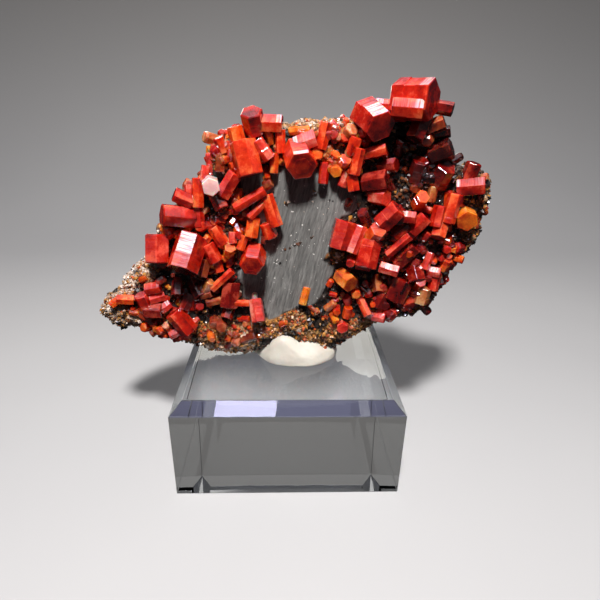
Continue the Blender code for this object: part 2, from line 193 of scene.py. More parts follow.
def applied(mesh, modifiers):
    """Return a mesh with modifiers applied; each is (type, settings)."""
    holder = bpy.data.objects.new("holder", mesh)
    bpy.context.scene.collection.objects.link(holder)
    for kind, settings in modifiers:
        modifier = holder.modifiers.new(kind.lower(), kind)
        for name, value in settings.items():
            setattr(modifier, name, value)
    depsgraph = bpy.context.evaluated_depsgraph_get()
    result = bpy.data.meshes.new_from_object(holder.evaluated_get(depsgraph))
    bpy.data.objects.remove(holder)
    return result


def vertex_array(mesh, what="co"):
    """Return the vertices' places or normals as an array."""
    values = np.empty(len(mesh.vertices) * 3, np.float32)
    if what == "co":
        mesh.vertices.foreach_get("co", values)
    else:
        mesh.vertex_normals.foreach_get("vector", values)
    return values.reshape(-1, 3).astype(float)


# %% [markdown]
# ## Lumpy noise
#
# Rock is rough at every size.  Blender's noise function takes one point at a time, which is slow for
# a few hundred thousand points.  This noise gives each cell of a grid a random number, eases between
# neighbours, and does so for all points at once with numpy.

# %% Noise and easing
CELL_PRIMES = (73856093, 19349663, 83492791)
SEED_STEP, STIR = 1013904223, 1274126177


def cell_key(cell, seed):
    """Return a whole number for each cell of a grid, different for each seed."""
    return (cell * CELL_PRIMES).sum(axis=1) + seed * SEED_STEP


def stirred(key):
    """Return keys stirred once more."""
    return (key ^ (key >> 13)) * STIR & 0xFFFFFFFF


def random_share(key):
    """Return numbers from 0 to 1 for stirred keys."""
    return ((key ^ (key >> 16)) & 0xFFFF) / 65535.0


def lumps(points, size, seed):
    """Return smooth random numbers from -1 to 1, with lumps of a given size, for many points."""
    scaled = points / size + seed * 7.31
    cell = np.floor(scaled).astype(np.int64)
    part = scaled - cell
    part = part * part * (3.0 - 2.0 * part)
    total = np.zeros(len(points))
    for corner in np.ndindex(2, 2, 2):
        value = 2.0 * random_share(stirred(cell_key(cell + corner, seed))) - 1.0
        weight = np.ones(len(points))
        for axis, side in enumerate(corner):
            weight *= part[:, axis] if side else 1.0 - part[:, axis]
        total += value * weight
    return total


def rough(points, size, seed, layers=3):
    """Return several layers of lumps, each half the size and half the height of the one before."""
    return sum(lumps(points, size / 2 ** layer, seed + layer) / 2 ** layer for layer in range(layers))


def eased(value, low, high):
    """Return 0 below low, 1 above high and a smooth step between."""
    part = np.clip((value - low) / (high - low), 0.0, 1.0)
    return part * part * (3.0 - 2.0 * part)


# %% [markdown]
# ## Stage
#
# The floor is a pale sheet that curves up into a wall behind the object.  A plane and an upright
# wall would show a line where they meet, and a swept sheet doesn't.  A faint painted glow of its own
# keeps the shadows on it soft, and the sheet is painted darker as it rises into the wall, as painted
# shade.

# %% Floor and wall
# The sheet's profile is in millimetres: depth and height.
FLOOR_GAP = 0.04 * MM
CURVE_START, CURVE_RADIUS = 150, 170
WALL_DEPTH = CURVE_START + CURVE_RADIUS
floor_bm = bmesh.new()
profile = [(-700, 0), (-300, 0), (60, 0), (CURVE_START, 0)]
profile += [(CURVE_START + CURVE_RADIUS * sin(turn), CURVE_RADIUS - CURVE_RADIUS * cos(turn))
            for turn in (radians(degrees) for degrees in range(6, 91, 6))]
profile += [(WALL_DEPTH, 420), (WALL_DEPTH, 900)]
rails = []
for side in (-900, -300, 0, 300, 900):
    rails.append([floor_bm.verts.new((side * MM, y * MM, z * MM - FLOOR_GAP)) for y, z in profile])
for left, right in zip(rails, rails[1:]):
    for step in range(len(profile) - 1):
        floor_bm.faces.new((left[step], right[step], right[step + 1], left[step + 1]))
floor_mesh = bpy.data.meshes.new("floor")
floor_bm.to_mesh(floor_mesh)
floor_mesh.polygons.foreach_set("use_smooth", [True] * len(floor_mesh.polygons))
floor = bpy.data.objects.new("floor", floor_mesh)
bpy.context.scene.collection.objects.link(floor)
floor_finish, tree, shader = new_material("pale_paper")
place = add_node(tree, "TexCoord").outputs["Object"]
height = add_node(tree, "SeparateXYZ", {0: place}).outputs["Z"]
cloud = add_node(tree, "TexNoise", {"Vector": place, "Scale": 9.0, "Detail": 3.0}).outputs["Fac"]
pale = mix_colours(tree, cloud, (0.46, 0.46, 0.475), (0.54, 0.54, 0.55))
# Painted shade: the sheet is painted darker as it rises into the wall.
colour = mix_colours(tree, ramp(tree, height, 0.0, 0.16), pale, (0.20, 0.19, 0.18))
tree.links.new(colour, shader.inputs["Base Color"])
# Painted glow: a faint emission of the sheet's own lifts the shadows on it.
fill(shader, Roughness=0.8, Emission_Color=(0.60, 0.60, 0.63, 1.0), Emission_Strength=0.09)
floor_mesh.materials.append(floor_finish)
floor.visible_diffuse = False
floor.visible_glossy = False
print("floor sheet:", len(floor_mesh.polygons), "faces")

# %% [markdown]
# ## Light
#
# A small lamp high in front gives crisp shadows.  Large studio panels would light the hollows
# between the crystals too, and make them dull.  So a wide panel overhead, a narrow window and a low
# panel behind are seen by glossy rays only: they lay a pale sheen on upper faces, a bluish one on
# the block's bevel and a grey one on its top.  A bluish ceiling is seen only through the block.  The
# world is nearly black in front and brighter behind, for diffuse light only, so that the back of
# the specimen is lit softly and the front keeps its dark shadows.

# %% Lamps
SPECIMEN_MIDDLE = Vector((0.0, -6.0, 54.0)) * MM


def add_lamp(name, elevation, azimuth, distance, size, watts, colour):
    """Aim an area lamp at the specimen; the azimuth is 0 straight in front and grows to the left."""
    lamp = bpy.data.lights.new(name, "AREA")
    lamp.shape = "RECTANGLE"
    lamp.size, lamp.size_y = size
    lamp.energy = watts
    lamp.color = colour
    thing = bpy.data.objects.new(name, lamp)
    bpy.context.scene.collection.objects.link(thing)
    tilt, turn = radians(elevation), radians(azimuth)
    away = Vector((-sin(turn) * cos(tilt), -cos(turn) * cos(tilt), sin(tilt)))
    thing.location = SPECIMEN_MIDDLE + away * distance
    thing.rotation_euler = away.to_track_quat("Z", "Y").to_euler()
    thing.visible_camera = False
    return thing


# Rows: name, elevation, azimuth, distance, size, watts, colour.
SIDE_LAMPS = [
    ("sheen_panel", 88, 0, 0.34, (0.50, 0.80), 0.60, (1.0, 0.90, 0.97)),
    ("window", 52, 9, 0.365, (0.060, 0.09), 0.34, (0.74, 0.72, 1.0)),
    ("back_panel", 21, 180, 0.165, (0.20, 0.050), 0.12, (1.0, 0.96, 0.86)),
    ("ceiling", 88, 0, 0.36, (0.50, 0.80), 0.25, (0.58, 0.58, 1.0)),
]
key_lamp = add_lamp("key", 59, 4, 0.30, (0.040, 0.040), 1.70, (1.0, 0.97, 0.94))
key_lamp.visible_transmission = False
for row in SIDE_LAMPS:
    side_lamp = add_lamp(*row)
    only_through_block = row[0] == "ceiling"
    side_lamp.visible_diffuse = False
    side_lamp.visible_glossy = not only_through_block
    side_lamp.visible_transmission = only_through_block
print("lamps:", 1 + len(SIDE_LAMPS))

# %% World
DARK_FRONT, PALE_BEHIND = (0.028, 0.028, 0.031), (0.34, 0.33, 0.32)
world = bpy.data.worlds.new("world")
bpy.context.scene.world = world
world.use_nodes = True
world_tree = world.node_tree
direction = add_node(world_tree, "TexCoord").outputs["Generated"]
behind = ramp(world_tree, add_node(world_tree, "SeparateXYZ", {0: direction}).outputs["Y"], 0.15, 0.95)
diffuse_ray = add_node(world_tree, "LightPath").outputs["Is Diffuse Ray"]
on_diffuse = add_node(world_tree, "Math", {0: diffuse_ray, 1: behind}, operation="MULTIPLY").outputs[0]
gloom = mix_colours(world_tree, on_diffuse, DARK_FRONT, PALE_BEHIND)
world_tree.links.new(gloom, world_tree.nodes["Background"].inputs["Color"])
bpy.context.scene.view_settings.view_transform = "Standard"
print("world:", len(world_tree.nodes), "nodes")

# %% [markdown]
# ## Clear block
#
# The block is cut from clear sheet, sawn at the sides and polished, with a bevel round its top.
# A cube with two rounds of bevels does it: one wide and flat for the bevel, then a hair's breadth on
# every edge, which catches the light as polished edges do.  The clear finish is plain transmission
# with acrylic's refraction, and a slight grey-green absorption inside.

# %% The block's shape
EDGE_ROUND = 0.14 * MM
block_bm = bmesh.new()
bmesh.ops.create_cube(block_bm, size=1.0)
bmesh.ops.scale(block_bm, vec=(BLOCK_SIDE, BLOCK_SIDE, BLOCK_HEIGHT), verts=block_bm.verts)
bmesh.ops.translate(block_bm, vec=(0.0, 0.0, BLOCK_HEIGHT / 2), verts=block_bm.verts)
top_edges = [edge for edge in block_bm.edges if all(v.co.z > BLOCK_HEIGHT / 2 for v in edge.verts)]
bmesh.ops.bevel(block_bm, geom=top_edges, offset=BLOCK_BEVEL, segments=1, affect="EDGES")
for face in block_bm.faces:
    on_bevel = 0.3 < face.normal.z < 0.9
    face.material_index = 1 if on_bevel else 0
bmesh.ops.bevel(block_bm, geom=block_bm.edges[:], offset=EDGE_ROUND, segments=2, profile=0.5,
                affect="EDGES", material=-1)
block_mesh = bpy.data.meshes.new("clear_block")
block_bm.to_mesh(block_mesh)
print("block:", len(block_mesh.polygons), "faces")

# %% Clear finish
ACRYLIC_IOR, ACRYLIC_TINT, ACRYLIC_DENSITY = 1.49, (0.80, 0.86, 0.84, 1.0), 6.0


def clear_finish(name, blur, scratch_scale, scratch_depth):
    """Clear acrylic with fine marks on its surface."""
    material, tree, shader = new_material(name)
    fill(shader, Base_Color=(0.98, 0.99, 0.99, 1.0), Transmission_Weight=1.0, IOR=ACRYLIC_IOR)
    place = add_node(tree, "TexCoord").outputs["Object"]
    marks = add_node(tree, "TexNoise", {"Vector": place, "Scale": scratch_scale, "Detail": 4.0})
    tree.links.new(ramp(tree, marks.outputs["Fac"], 0.35, 0.75, 0.0, blur), shader.inputs["Roughness"])
    bump = add_node(tree, "Bump", {"Height": marks.outputs["Fac"], "Strength": 1.0,
                                   "Distance": scratch_depth})
    tree.links.new(bump.outputs["Normal"], shader.inputs["Normal"])
    absorption = add_node(tree, "VolumeAbsorption", {"Color": ACRYLIC_TINT, "Density": ACRYLIC_DENSITY})
    tree.links.new(absorption.outputs["Volume"], tree.nodes["Material Output"].inputs["Volume"])
    return material


polished = clear_finish("polished_acrylic", 0.02, 260.0, 0.000004)
milled = clear_finish("milled_acrylic", 0.12, 1500.0, 0.00001)
add_piece("clear_block", block_mesh, (polished, milled), ("acrylic_block",))

# %% [markdown]
# ## Tack
#
# Tack is a waxy putty, pressed by thumb under the slab's foot.  It bulges at the front, rides up the
# rock under a small arch, and is pinched out at its left end.  A ball with its vertices pushed
# about makes a soft lump like this faster than sculpting.

# %% The tack's shape
TACK_MIDDLE = np.array((2.0, -0.6, 24.05)) * MM
TACK_RADII = np.array((10.5, 9.0, 6.2)) * MM
# On the ball of radius 1: where the arch in the rock pulls it up, and how wide and high.
ARCH_X, ARCH_WIDTH, ARCH_RISE = -0.33, 0.30, 0.45
PINCH_HEIGHT, PINCH_DEPTH = 0.55, 0.25
tack_bm = bmesh.new()
bmesh.ops.create_icosphere(tack_bm, subdivisions=6, radius=1.0)
tack_mesh = bpy.data.meshes.new("mineral_tack")
tack_bm.to_mesh(tack_mesh)
ball = vertex_array(tack_mesh)
swell = 1.0 + 0.05 * rough(ball, 0.8, 3) + 0.012 * rough(ball, 0.22, 5)
lump = ball * swell[:, None]
pinch = eased(-lump[:, 0], 0.55, 1.0)
lump[:, 2] *= 1.0 - PINCH_HEIGHT * pinch
lump[:, 1] *= 1.0 - PINCH_DEPTH * pinch
arch = np.exp(-((lump[:, 0] - ARCH_X) / ARCH_WIDTH) ** 2) * eased(-lump[:, 1], 0.2, 0.8)
lump[:, 2] += ARCH_RISE * arch * eased(lump[:, 2], -0.2, 0.5)
tack_points = TACK_MIDDLE + lump * TACK_RADII
squashed = np.minimum(tack_points[:, 2] - BLOCK_HEIGHT, 0.0)
tack_points[:, 2] = np.maximum(tack_points[:, 2], BLOCK_HEIGHT + 0.02 * MM)
tack_points[:, 0] += lump[:, 0] * squashed * 0.05
tack_mesh.vertices.foreach_set("co", tack_points.ravel())
tack_mesh.polygons.foreach_set("use_smooth", [True] * len(tack_mesh.polygons))

# %% The tack's finish
tack_finish, tree, shader = new_material("cream_tack")
place = add_node(tree, "TexCoord").outputs["Object"]
blotch = add_node(tree, "TexNoise", {"Vector": place, "Scale": 240.0, "Detail": 4.0}).outputs["Fac"]
cream = mix_colours(tree, blotch, (0.56, 0.51, 0.43), (0.74, 0.71, 0.65))
tree.links.new(cream, shader.inputs["Base Color"])
fill(shader, Roughness=0.5, Subsurface_Weight=0.15, Subsurface_Scale=0.001)
bump = add_node(tree, "Bump", {"Height": blotch, "Strength": 0.8, "Distance": 0.0003})
tree.links.new(bump.outputs["Normal"], shader.inputs["Normal"])
add_piece("tack_lump", tack_mesh, (tack_finish,), ("mineral_tack",))

# %% [markdown]
# ## The slab
#
# The slab is the dark rock that the crystals grew on, about 13 mm thick.  It could be sculpted by
# hand, but it has to keep to its solid.  So it is lofted, as its solid is, through rings that run
# from the middle of its face, round its rim, to the middle of its back.  A voxel remesh then gives
# it even, fine faces, so that noise can break them up.

# %% The slab's shape
OUTLINE = [
    (-43.4, 12.4), (-41.6, 16.6), (-38.2, 18.0), (-35.6, 22.0), (-32.6, 24.6), (-30.0, 28.0),
    (-28.0, 32.6), (-25.4, 36.2), (-22.4, 39.2), (-19.4, 42.6), (-17.2, 46.2), (-16.2, 49.6),
    (-13.6, 51.8), (-9.4, 53.4), (-4.6, 53.4), (0.2, 53.8), (4.6, 54.4), (8.6, 55.0),
    (13.6, 54.6), (18.4, 55.6), (23.4, 57.2), (27.8, 56.4), (30.6, 53.6), (32.2, 50.0),
    (34.6, 46.6), (39.2, 46.2), (42.6, 43.6), (43.0, 39.6), (42.0, 35.0), (41.0, 30.8),
    (39.4, 27.4), (35.8, 24.2), (34.6, 20.0), (33.6, 15.6), (30.2, 12.9), (25.2, 12.2),
    (20.6, 10.0), (16.0, 7.4), (11.6, 3.6), (5.6, 2.4), (-1.6, 2.6), (-8.4, 2.4),
    (-15.0, 2.6), (-20.6, 3.4), (-26.2, 5.0), (-31.2, 6.8), (-35.4, 9.2), (-40.2, 9.0),
]
OUTLINE_Y = -4.4 * MM
SLAB_CENTRE = (-1.0, 29.0)
# Rows: share of the outline, and y in millimetres.
SLAB_RINGS = [
    (0.16, -6.1), (0.36, -6.1), (0.55, -6.1), (0.73, -6.1), (0.88, -5.9), (0.97, -5.2), (1.0, -3.9),
    (0.985, -1.0), (0.94, 2.2), (0.84, 5.0), (0.64, 6.7), (0.38, 7.4), (0.14, 7.6),
]
# Rows: u, v, radius and height of a swelling of the face, in millimetres.
RELIEF = [
    (24.0, 47.5, 8.0, -3.2), (27.0, 22.0, 8.0, -1.8), (-19.0, 17.0, 7.0, -2.0), (-30.0, 14.0, 6.0, -0.8),
    (5.0, 8.0, 6.0, 0.9), (-12.0, 6.0, 7.0, 0.7), (-8.0, 21.0, 4.0, -1.2), (12.0, 52.0, 5.0, 0.8),
]
ROUGHNESS, FACE_ROUGHNESS, LUMP_SIZE = 1.3 * MM, 0.25 * MM, 8.0 * MM
VOXEL = 0.34 * MM
# Points whose normal's y is below this lie on the slab's face, which is smoother.
FACES_FORWARD = -0.7


def face_relief(u, v):
    """Return how far the face swells forward at (u, v)."""
    rise = 0.0
    for centre_u, centre_v, radius, peak in RELIEF:
        away = ((u - centre_u) ** 2 + (v - centre_v) ** 2) / radius ** 2
        rise += peak * max(0.0, 1.0 - away) ** 2
    return rise * MM


print("outline:", len(OUTLINE), "corners,", len(SLAB_RINGS), "rings")

# %% Lofting the slab
slab_bm = bmesh.new()
rings = []
for share, depth in SLAB_RINGS:
    ring = []
    for edge_u, edge_v in OUTLINE:
        u = SLAB_CENTRE[0] + (edge_u - SLAB_CENTRE[0]) * share
        v = SLAB_CENTRE[1] + (edge_v - SLAB_CENTRE[1]) * share
        flat = on_drawing(u, v, OUTLINE_Y)
        front = depth * MM - (face_relief(u, v) * (1.0 - share ** 4) if depth < 0.0 else 0.0)
        ring.append(slab_bm.verts.new((flat.x, front, flat.z)))
    rings.append(ring)
for ring, following in zip(rings, rings[1:]):
    for index in range(len(ring)):
        after = (index + 1) % len(ring)
        slab_bm.faces.new((ring[index], ring[after], following[after], following[index]))
for ring in (rings[0], rings[-1]):
    hub = slab_bm.verts.new(sum((vert.co for vert in ring), Vector()) / len(ring))
    for index, vert in enumerate(ring):
        slab_bm.faces.new((vert, ring[index - 1], hub))
bmesh.ops.triangulate(slab_bm, faces=slab_bm.faces[:])
bmesh.ops.recalc_face_normals(slab_bm, faces=slab_bm.faces)
slab_bm.normal_update()
for vert in slab_bm.verts:
    on_face = vert.co.y < OUTLINE_Y and vert.normal.y < FACES_FORWARD
    vert.co += vert.normal * (FACE_ROUGHNESS if on_face else ROUGHNESS) * noise.noise(vert.co / LUMP_SIZE)
slab_mesh = bpy.data.meshes.new("matrix")
slab_bm.to_mesh(slab_mesh)
slab_mesh = applied(slab_mesh, (("SUBSURF", {"levels": 1, "subdivision_type": "SIMPLE"}),
                                ("REMESH", {"mode": "VOXEL", "voxel_size": VOXEL})))
slab_mesh.name = "matrix"
print("slab:", len(slab_mesh.polygons), "faces")

# %% [markdown]
# ## What grows where
#
# The bare slate has a broken outline on the drawing, so it is kept as a polygon.  The brown crust,
# the pale weathered tip and the blush on the left edge have soft edges, so they are round patches.
# All are numbers per vertex, which the shape, the grains and the finish of the rock share.

# %% Slate, crust and pale patches
# The slate's edge: u and v.
SLATE_EDGE = [
    (-10.0, 44.4), (-6.1, 45.5), (-2.3, 46.0), (2.0, 47.0), (6.0, 46.0), (10.0, 44.5), (14.2, 40.2),
    (14.1, 36.9), (12.9, 36.0), (11.1, 35.4), (9.6, 33.2), (9.4, 30.3), (9.8, 28.4), (8.4, 27.4),
    (7.9, 25.7), (9.4, 24.4), (10.1, 23.6), (9.7, 22.0), (8.7, 19.9), (8.1, 18.5), (7.4, 16.6),
    (5.8, 14.8), (4.3, 13.9), (2.3, 14.3), (-1.0, 12.6), (-3.0, 11.3), (-5.2, 10.6), (-5.6, 14.5),
    (-7.5, 16.6), (-9.8, 16.3), (-11.2, 19.4), (-11.8, 22.5), (-9.4, 25.2), (-7.0, 28.6),
    (-7.5, 31.2), (-7.3, 34.9), (-7.9, 37.4), (-8.6, 40.0), (-10.0, 41.0),
]
# Patches: u, v, radius across, radius up, strength.
CRUST_PATCHES = [
    (-13.5, 6.2, 8.5, 4.6, 1.0), (-4.5, 8.8, 4.5, 3.2, 0.8), (1.6, 10.4, 4.2, 3.6, 0.95),
    (6.5, 5.5, 6.5, 3.0, 0.45), (14.5, 8.4, 6.0, 3.4, 0.9), (22.0, 11.4, 6.0, 2.4, 0.7),
    (-22.5, 7.2, 5.5, 3.4, 0.6), (-30.5, 11.5, 5.0, 4.5, 0.5), (-39.5, 12.8, 5.0, 4.0, 0.7),
    (32.5, 15.0, 3.2, 3.4, 0.6), (40.5, 31.5, 2.4, 5.0, 0.75), (41.8, 39.0, 2.2, 5.0, 0.6),
    (-32.0, 22.5, 3.5, 3.4, 0.8), (6.5, 54.2, 9.0, 1.8, 1.0), (-14.6, 49.0, 3.0, 4.4, 0.5),
    (-12.8, 27.6, 3.4, 2.8, 0.35), (9.6, 27.0, 2.8, 1.6, 0.5), (-26.5, 33.5, 2.6, 2.6, 0.6),
]
PALE_PATCHES = [
    (-40.6, 14.5, 3.4, 4.4, 0.9), (-36.4, 19.6, 3.2, 4.2, 1.0), (-32.4, 24.2, 2.6, 3.2, 0.9),
    (-38.0, 10.2, 4.5, 1.8, 0.7), (-9.3, 6.2, 1.9, 4.6, 0.85), (-28.0, 33.0, 1.8, 2.4, 0.7),
    (-16.0, 3.4, 9.0, 1.2, 0.7), (4.0, 55.2, 9.0, 1.3, 0.8), (40.8, 28.8, 1.6, 3.0, 0.4),
    (11.0, 27.0, 1.6, 1.2, 0.5), (-2.2, 44.6, 0.7, 0.7, 0.8),
]
print("patches:", len(CRUST_PATCHES), "of crust and", len(PALE_PATCHES), "pale")


# %% Zones of the rock
def inside(edge, u, v):
    """Return how far inside a polygon points lie, in millimetres; outside is negative."""
    nearest = np.full(len(u), np.inf)
    crossings = np.zeros(len(u), bool)
    for (u1, v1), (u2, v2) in zip(edge, edge[1:] + edge[:1]):
        along = ((u - u1) * (u2 - u1) + (v - v1) * (v2 - v1)) / ((u2 - u1) ** 2 + (v2 - v1) ** 2)
        along = np.clip(along, 0, 1)
        nearest = np.minimum(nearest, np.hypot(u - u1 - along * (u2 - u1), v - v1 - along * (v2 - v1)))
        if v1 != v2:
            crossings ^= ((v1 > v) != (v2 > v)) & (u < (u2 - u1) * (v - v1) / (v2 - v1) + u1)
    return np.where(crossings, nearest, -nearest)


def patches(rows, u, v):
    """Return the strength, 0 to 1, of round patches with soft edges."""
    found = np.zeros(len(u))
    for centre_u, centre_v, across, up, strength in rows:
        away = np.sqrt(((u - centre_u) / across) ** 2 + ((v - centre_v) / up) ** 2)
        found = np.maximum(found, strength * (1.0 - eased(away, 0.45, 1.15)))
    return found


def zones(points, facing):
    """Return slate, crust and pale strengths for points with their normals' y."""
    u, v = drawn_place(points)
    ragged = 0.5 * lumps(points, 2.6 * MM, 11) + 0.3 * lumps(points, 0.9 * MM, 12)
    front = eased(-facing, 0.15, 0.5) * eased(-points[:, 1], 3.0 * MM, 4.5 * MM)
    slate = eased(inside(SLATE_EDGE, u + ragged, v + ragged), -0.1, 0.25) * front
    near_front = eased(-points[:, 1], -4.0 * MM, 2.0 * MM)
    wobble = 1.5 * lumps(points, 3.0 * MM, 13)
    crust = patches(CRUST_PATCHES, u + wobble, v - 0.6 * wobble) * near_front * (1.0 - slate)
    pale = patches(PALE_PATCHES, u - 0.6 * wobble, v + 0.4 * wobble) * near_front * (1.0 - slate)
    return slate, crust, pale


# %% [markdown]
# ## Breaking up the slab
#
# Bare slate is only scored by fine streaks, and the dark rock round it is broken into knobs.  A
# displacement modifier with a texture could do this, but its strength would have to be painted.
# Here the points are pushed out along their normals by sums of noise, each times the numbers of
# its zone, and the zones are stored on the mesh for the finish.


# %% Relief of the rock
def knobs(points, size, seed):
    """Return 1 at the middle of scattered round knobs and 0 between them."""
    scaled = points / size
    cell = np.floor(scaled).astype(np.int64)
    nearest = np.full(len(points), 9.0)
    for step in np.ndindex(3, 3, 3):
        other = cell + np.array(step) - 1
        key = cell_key(other, seed)
        place = np.empty((len(points), 3))
        for axis in range(3):
            key = stirred(key)
            place[:, axis] = random_share(key)
        nearest = np.minimum(nearest, ((other + place - scaled) ** 2).sum(axis=1))
    return 1.0 - np.sqrt(nearest)


places = vertex_array(slab_mesh)
outward = vertex_array(slab_mesh, "normal")
slate, crust, pale = zones(places, outward[:, 1])
# Streaks of the slate run nearly upright, and lean a little to the right at the top.
STREAK_LEAN, STREAK_STRETCH = radians(13.0), 0.13
across_streaks = places[:, 0] * cos(STREAK_LEAN) - places[:, 2] * sin(STREAK_LEAN)
along_streaks = places[:, 0] * sin(STREAK_LEAN) + places[:, 2] * cos(STREAK_LEAN)
streak_frame = np.stack([across_streaks, np.zeros(len(places)), along_streaks * STREAK_STRETCH], axis=1)
# In each sum, a term is its height times noise of a lump size and a seed.
FRONT_SET_BACK, CRUST_THICKNESS = 0.55 * MM, 0.45
streaks = rough(streak_frame, 0.9 * MM, 21)
broken = 0.55 * MM * rough(places, 5.0 * MM, 22) + 0.25 * MM * knobs(places, 2.6 * MM, 23)
knobbly = 0.40 * MM * knobs(places, 1.15 * MM, 24) + 0.30 * MM * rough(places, 1.0 * MM, 25, 2)
front = eased(-outward[:, 1], 0.0, 0.5)
rise = (1.0 - slate) * (broken + knobbly * (0.35 + 0.65 * front) - FRONT_SET_BACK * front)
rise += slate * (0.05 * MM * streaks + 0.12 * MM * lumps(places, 6.0 * MM, 26))
rise += crust * CRUST_THICKNESS * MM
slab_mesh.vertices.foreach_set("co", (places + outward * rise[:, None]).ravel())
slab_mesh.update()
slab_mesh.polygons.foreach_set("use_smooth", [True] * len(slab_mesh.polygons))
for name, values in (("slate", slate), ("crust", crust), ("pale", pale), ("front", front)):
    slab_mesh.attributes.new(name, "FLOAT", "POINT").data.foreach_set("value", values.astype(np.float32))
print("slate covers", round(float(slate.mean()), 3), "of the slab")

# %% [markdown]
# ## The rock's finish
#
# The rock has four looks: grey slate with fine upright streaks, brown-black rock, golden brown crust,
# and pale weathered rock.  A material for each would leave hard borders along the faces.  So one
# finish covers the whole slab and mixes the looks by the numbers just stored.

# %% Rock finish: helpers and colours
# Colours from dark to pale.
SLATE_COLOURS = (0.085, 0.084, 0.082), (0.330, 0.325, 0.315)
SLATE_BAND, SLATE_FLECK = (0.115, 0.113, 0.110), (0.75, 0.73, 0.70)
DARK_COLOURS = (0.006, 0.005, 0.005), (0.050, 0.032, 0.024)
CRUST_COLOURS, CRUST_GOLD = ((0.055, 0.022, 0.010), (0.44, 0.18, 0.045)), (0.60, 0.32, 0.10)
PALE_COLOURS = (0.30, 0.18, 0.12), (0.82, 0.68, 0.58)
BACK_COLOURS = (0.060, 0.045, 0.038), (0.22, 0.17, 0.14)


def stored(tree, name):
    """Return the socket of a number stored on the mesh."""
    return add_node(tree, "Attribute", attribute_name=name).outputs["Fac"]


def spots(tree, place, scale, detail=3.0, roughness=0.6):
    """Return the socket of a noise texture's grey."""
    return add_node(tree, "TexNoise", {"Vector": place, "Scale": scale, "Detail": detail,
                                       "Roughness": roughness}).outputs["Fac"]


# %% Rock finish
rock, tree, shader = new_material("rock")
place = add_node(tree, "TexCoord").outputs["Object"]
upright = add_node(tree, "Mapping", {"Vector": place, "Rotation": (0.0, -STREAK_LEAN, 0.0)}).outputs["Vector"]
leaning = add_node(tree, "Mapping", {"Vector": upright, "Scale": (1.0, 0.3, 0.12)}).outputs["Vector"]
fine_streaks = spots(tree, leaning, 2300.0, 4.0, 0.7)
broad_streaks = spots(tree, leaning, 520.0, 2.0)
grey = mix_colours(tree, ramp(tree, fine_streaks, 0.32, 0.70), *SLATE_COLOURS)
grey = mix_colours(tree, ramp(tree, broad_streaks, 0.35, 0.65, 0.0, 0.55), grey, SLATE_BAND)
flecks = spots(tree, place, 1700.0, 1.0)
grey = mix_colours(tree, ramp(tree, flecks, 0.73, 0.76), grey, SLATE_FLECK)
mottle = spots(tree, place, 900.0, 4.0)
dark = mix_colours(tree, ramp(tree, mottle, 0.45, 0.72), *DARK_COLOURS)
brown = mix_colours(tree, ramp(tree, spots(tree, place, 1300.0), 0.42, 0.62), *CRUST_COLOURS)
brown = mix_colours(tree, ramp(tree, spots(tree, place, 520.0), 0.50, 0.66), brown, CRUST_GOLD)
bone = mix_colours(tree, ramp(tree, spots(tree, place, 1100.0), 0.40, 0.62), *PALE_COLOURS)
plain_back = mix_colours(tree, ramp(tree, spots(tree, place, 260.0), 0.38, 0.64), *BACK_COLOURS)
colour = mix_colours(tree, stored(tree, "front"), plain_back, dark)
colour = mix_colours(tree, ramp(tree, stored(tree, "crust"), 0.15, 0.55), colour, brown)
colour = mix_colours(tree, ramp(tree, stored(tree, "pale"), 0.15, 0.60), colour, bone)
colour = mix_colours(tree, stored(tree, "slate"), colour, grey)
tree.links.new(colour, shader.inputs["Base Color"])
dull = ramp(tree, spots(tree, place, 1500.0), 0.35, 0.65, 0.22, 0.75)
rock_blur = add_node(tree, "Mix", {0: stored(tree, "slate"), 2: dull, 3: 0.42}).outputs[0]
tree.links.new(rock_blur, shader.inputs["Roughness"])
grit = add_node(tree, "Mix", {0: stored(tree, "slate"), 2: spots(tree, place, 2200.0), 3: fine_streaks})
bump = add_node(tree, "Bump", {"Height": grit.outputs[0], "Strength": 0.7, "Distance": 0.00012})
tree.links.new(bump.outputs["Normal"], shader.inputs["Normal"])
fill(shader, Specular_IOR_Level=0.30)
slab = add_piece("matrix_rock", slab_mesh, (rock,), ("matrix",))
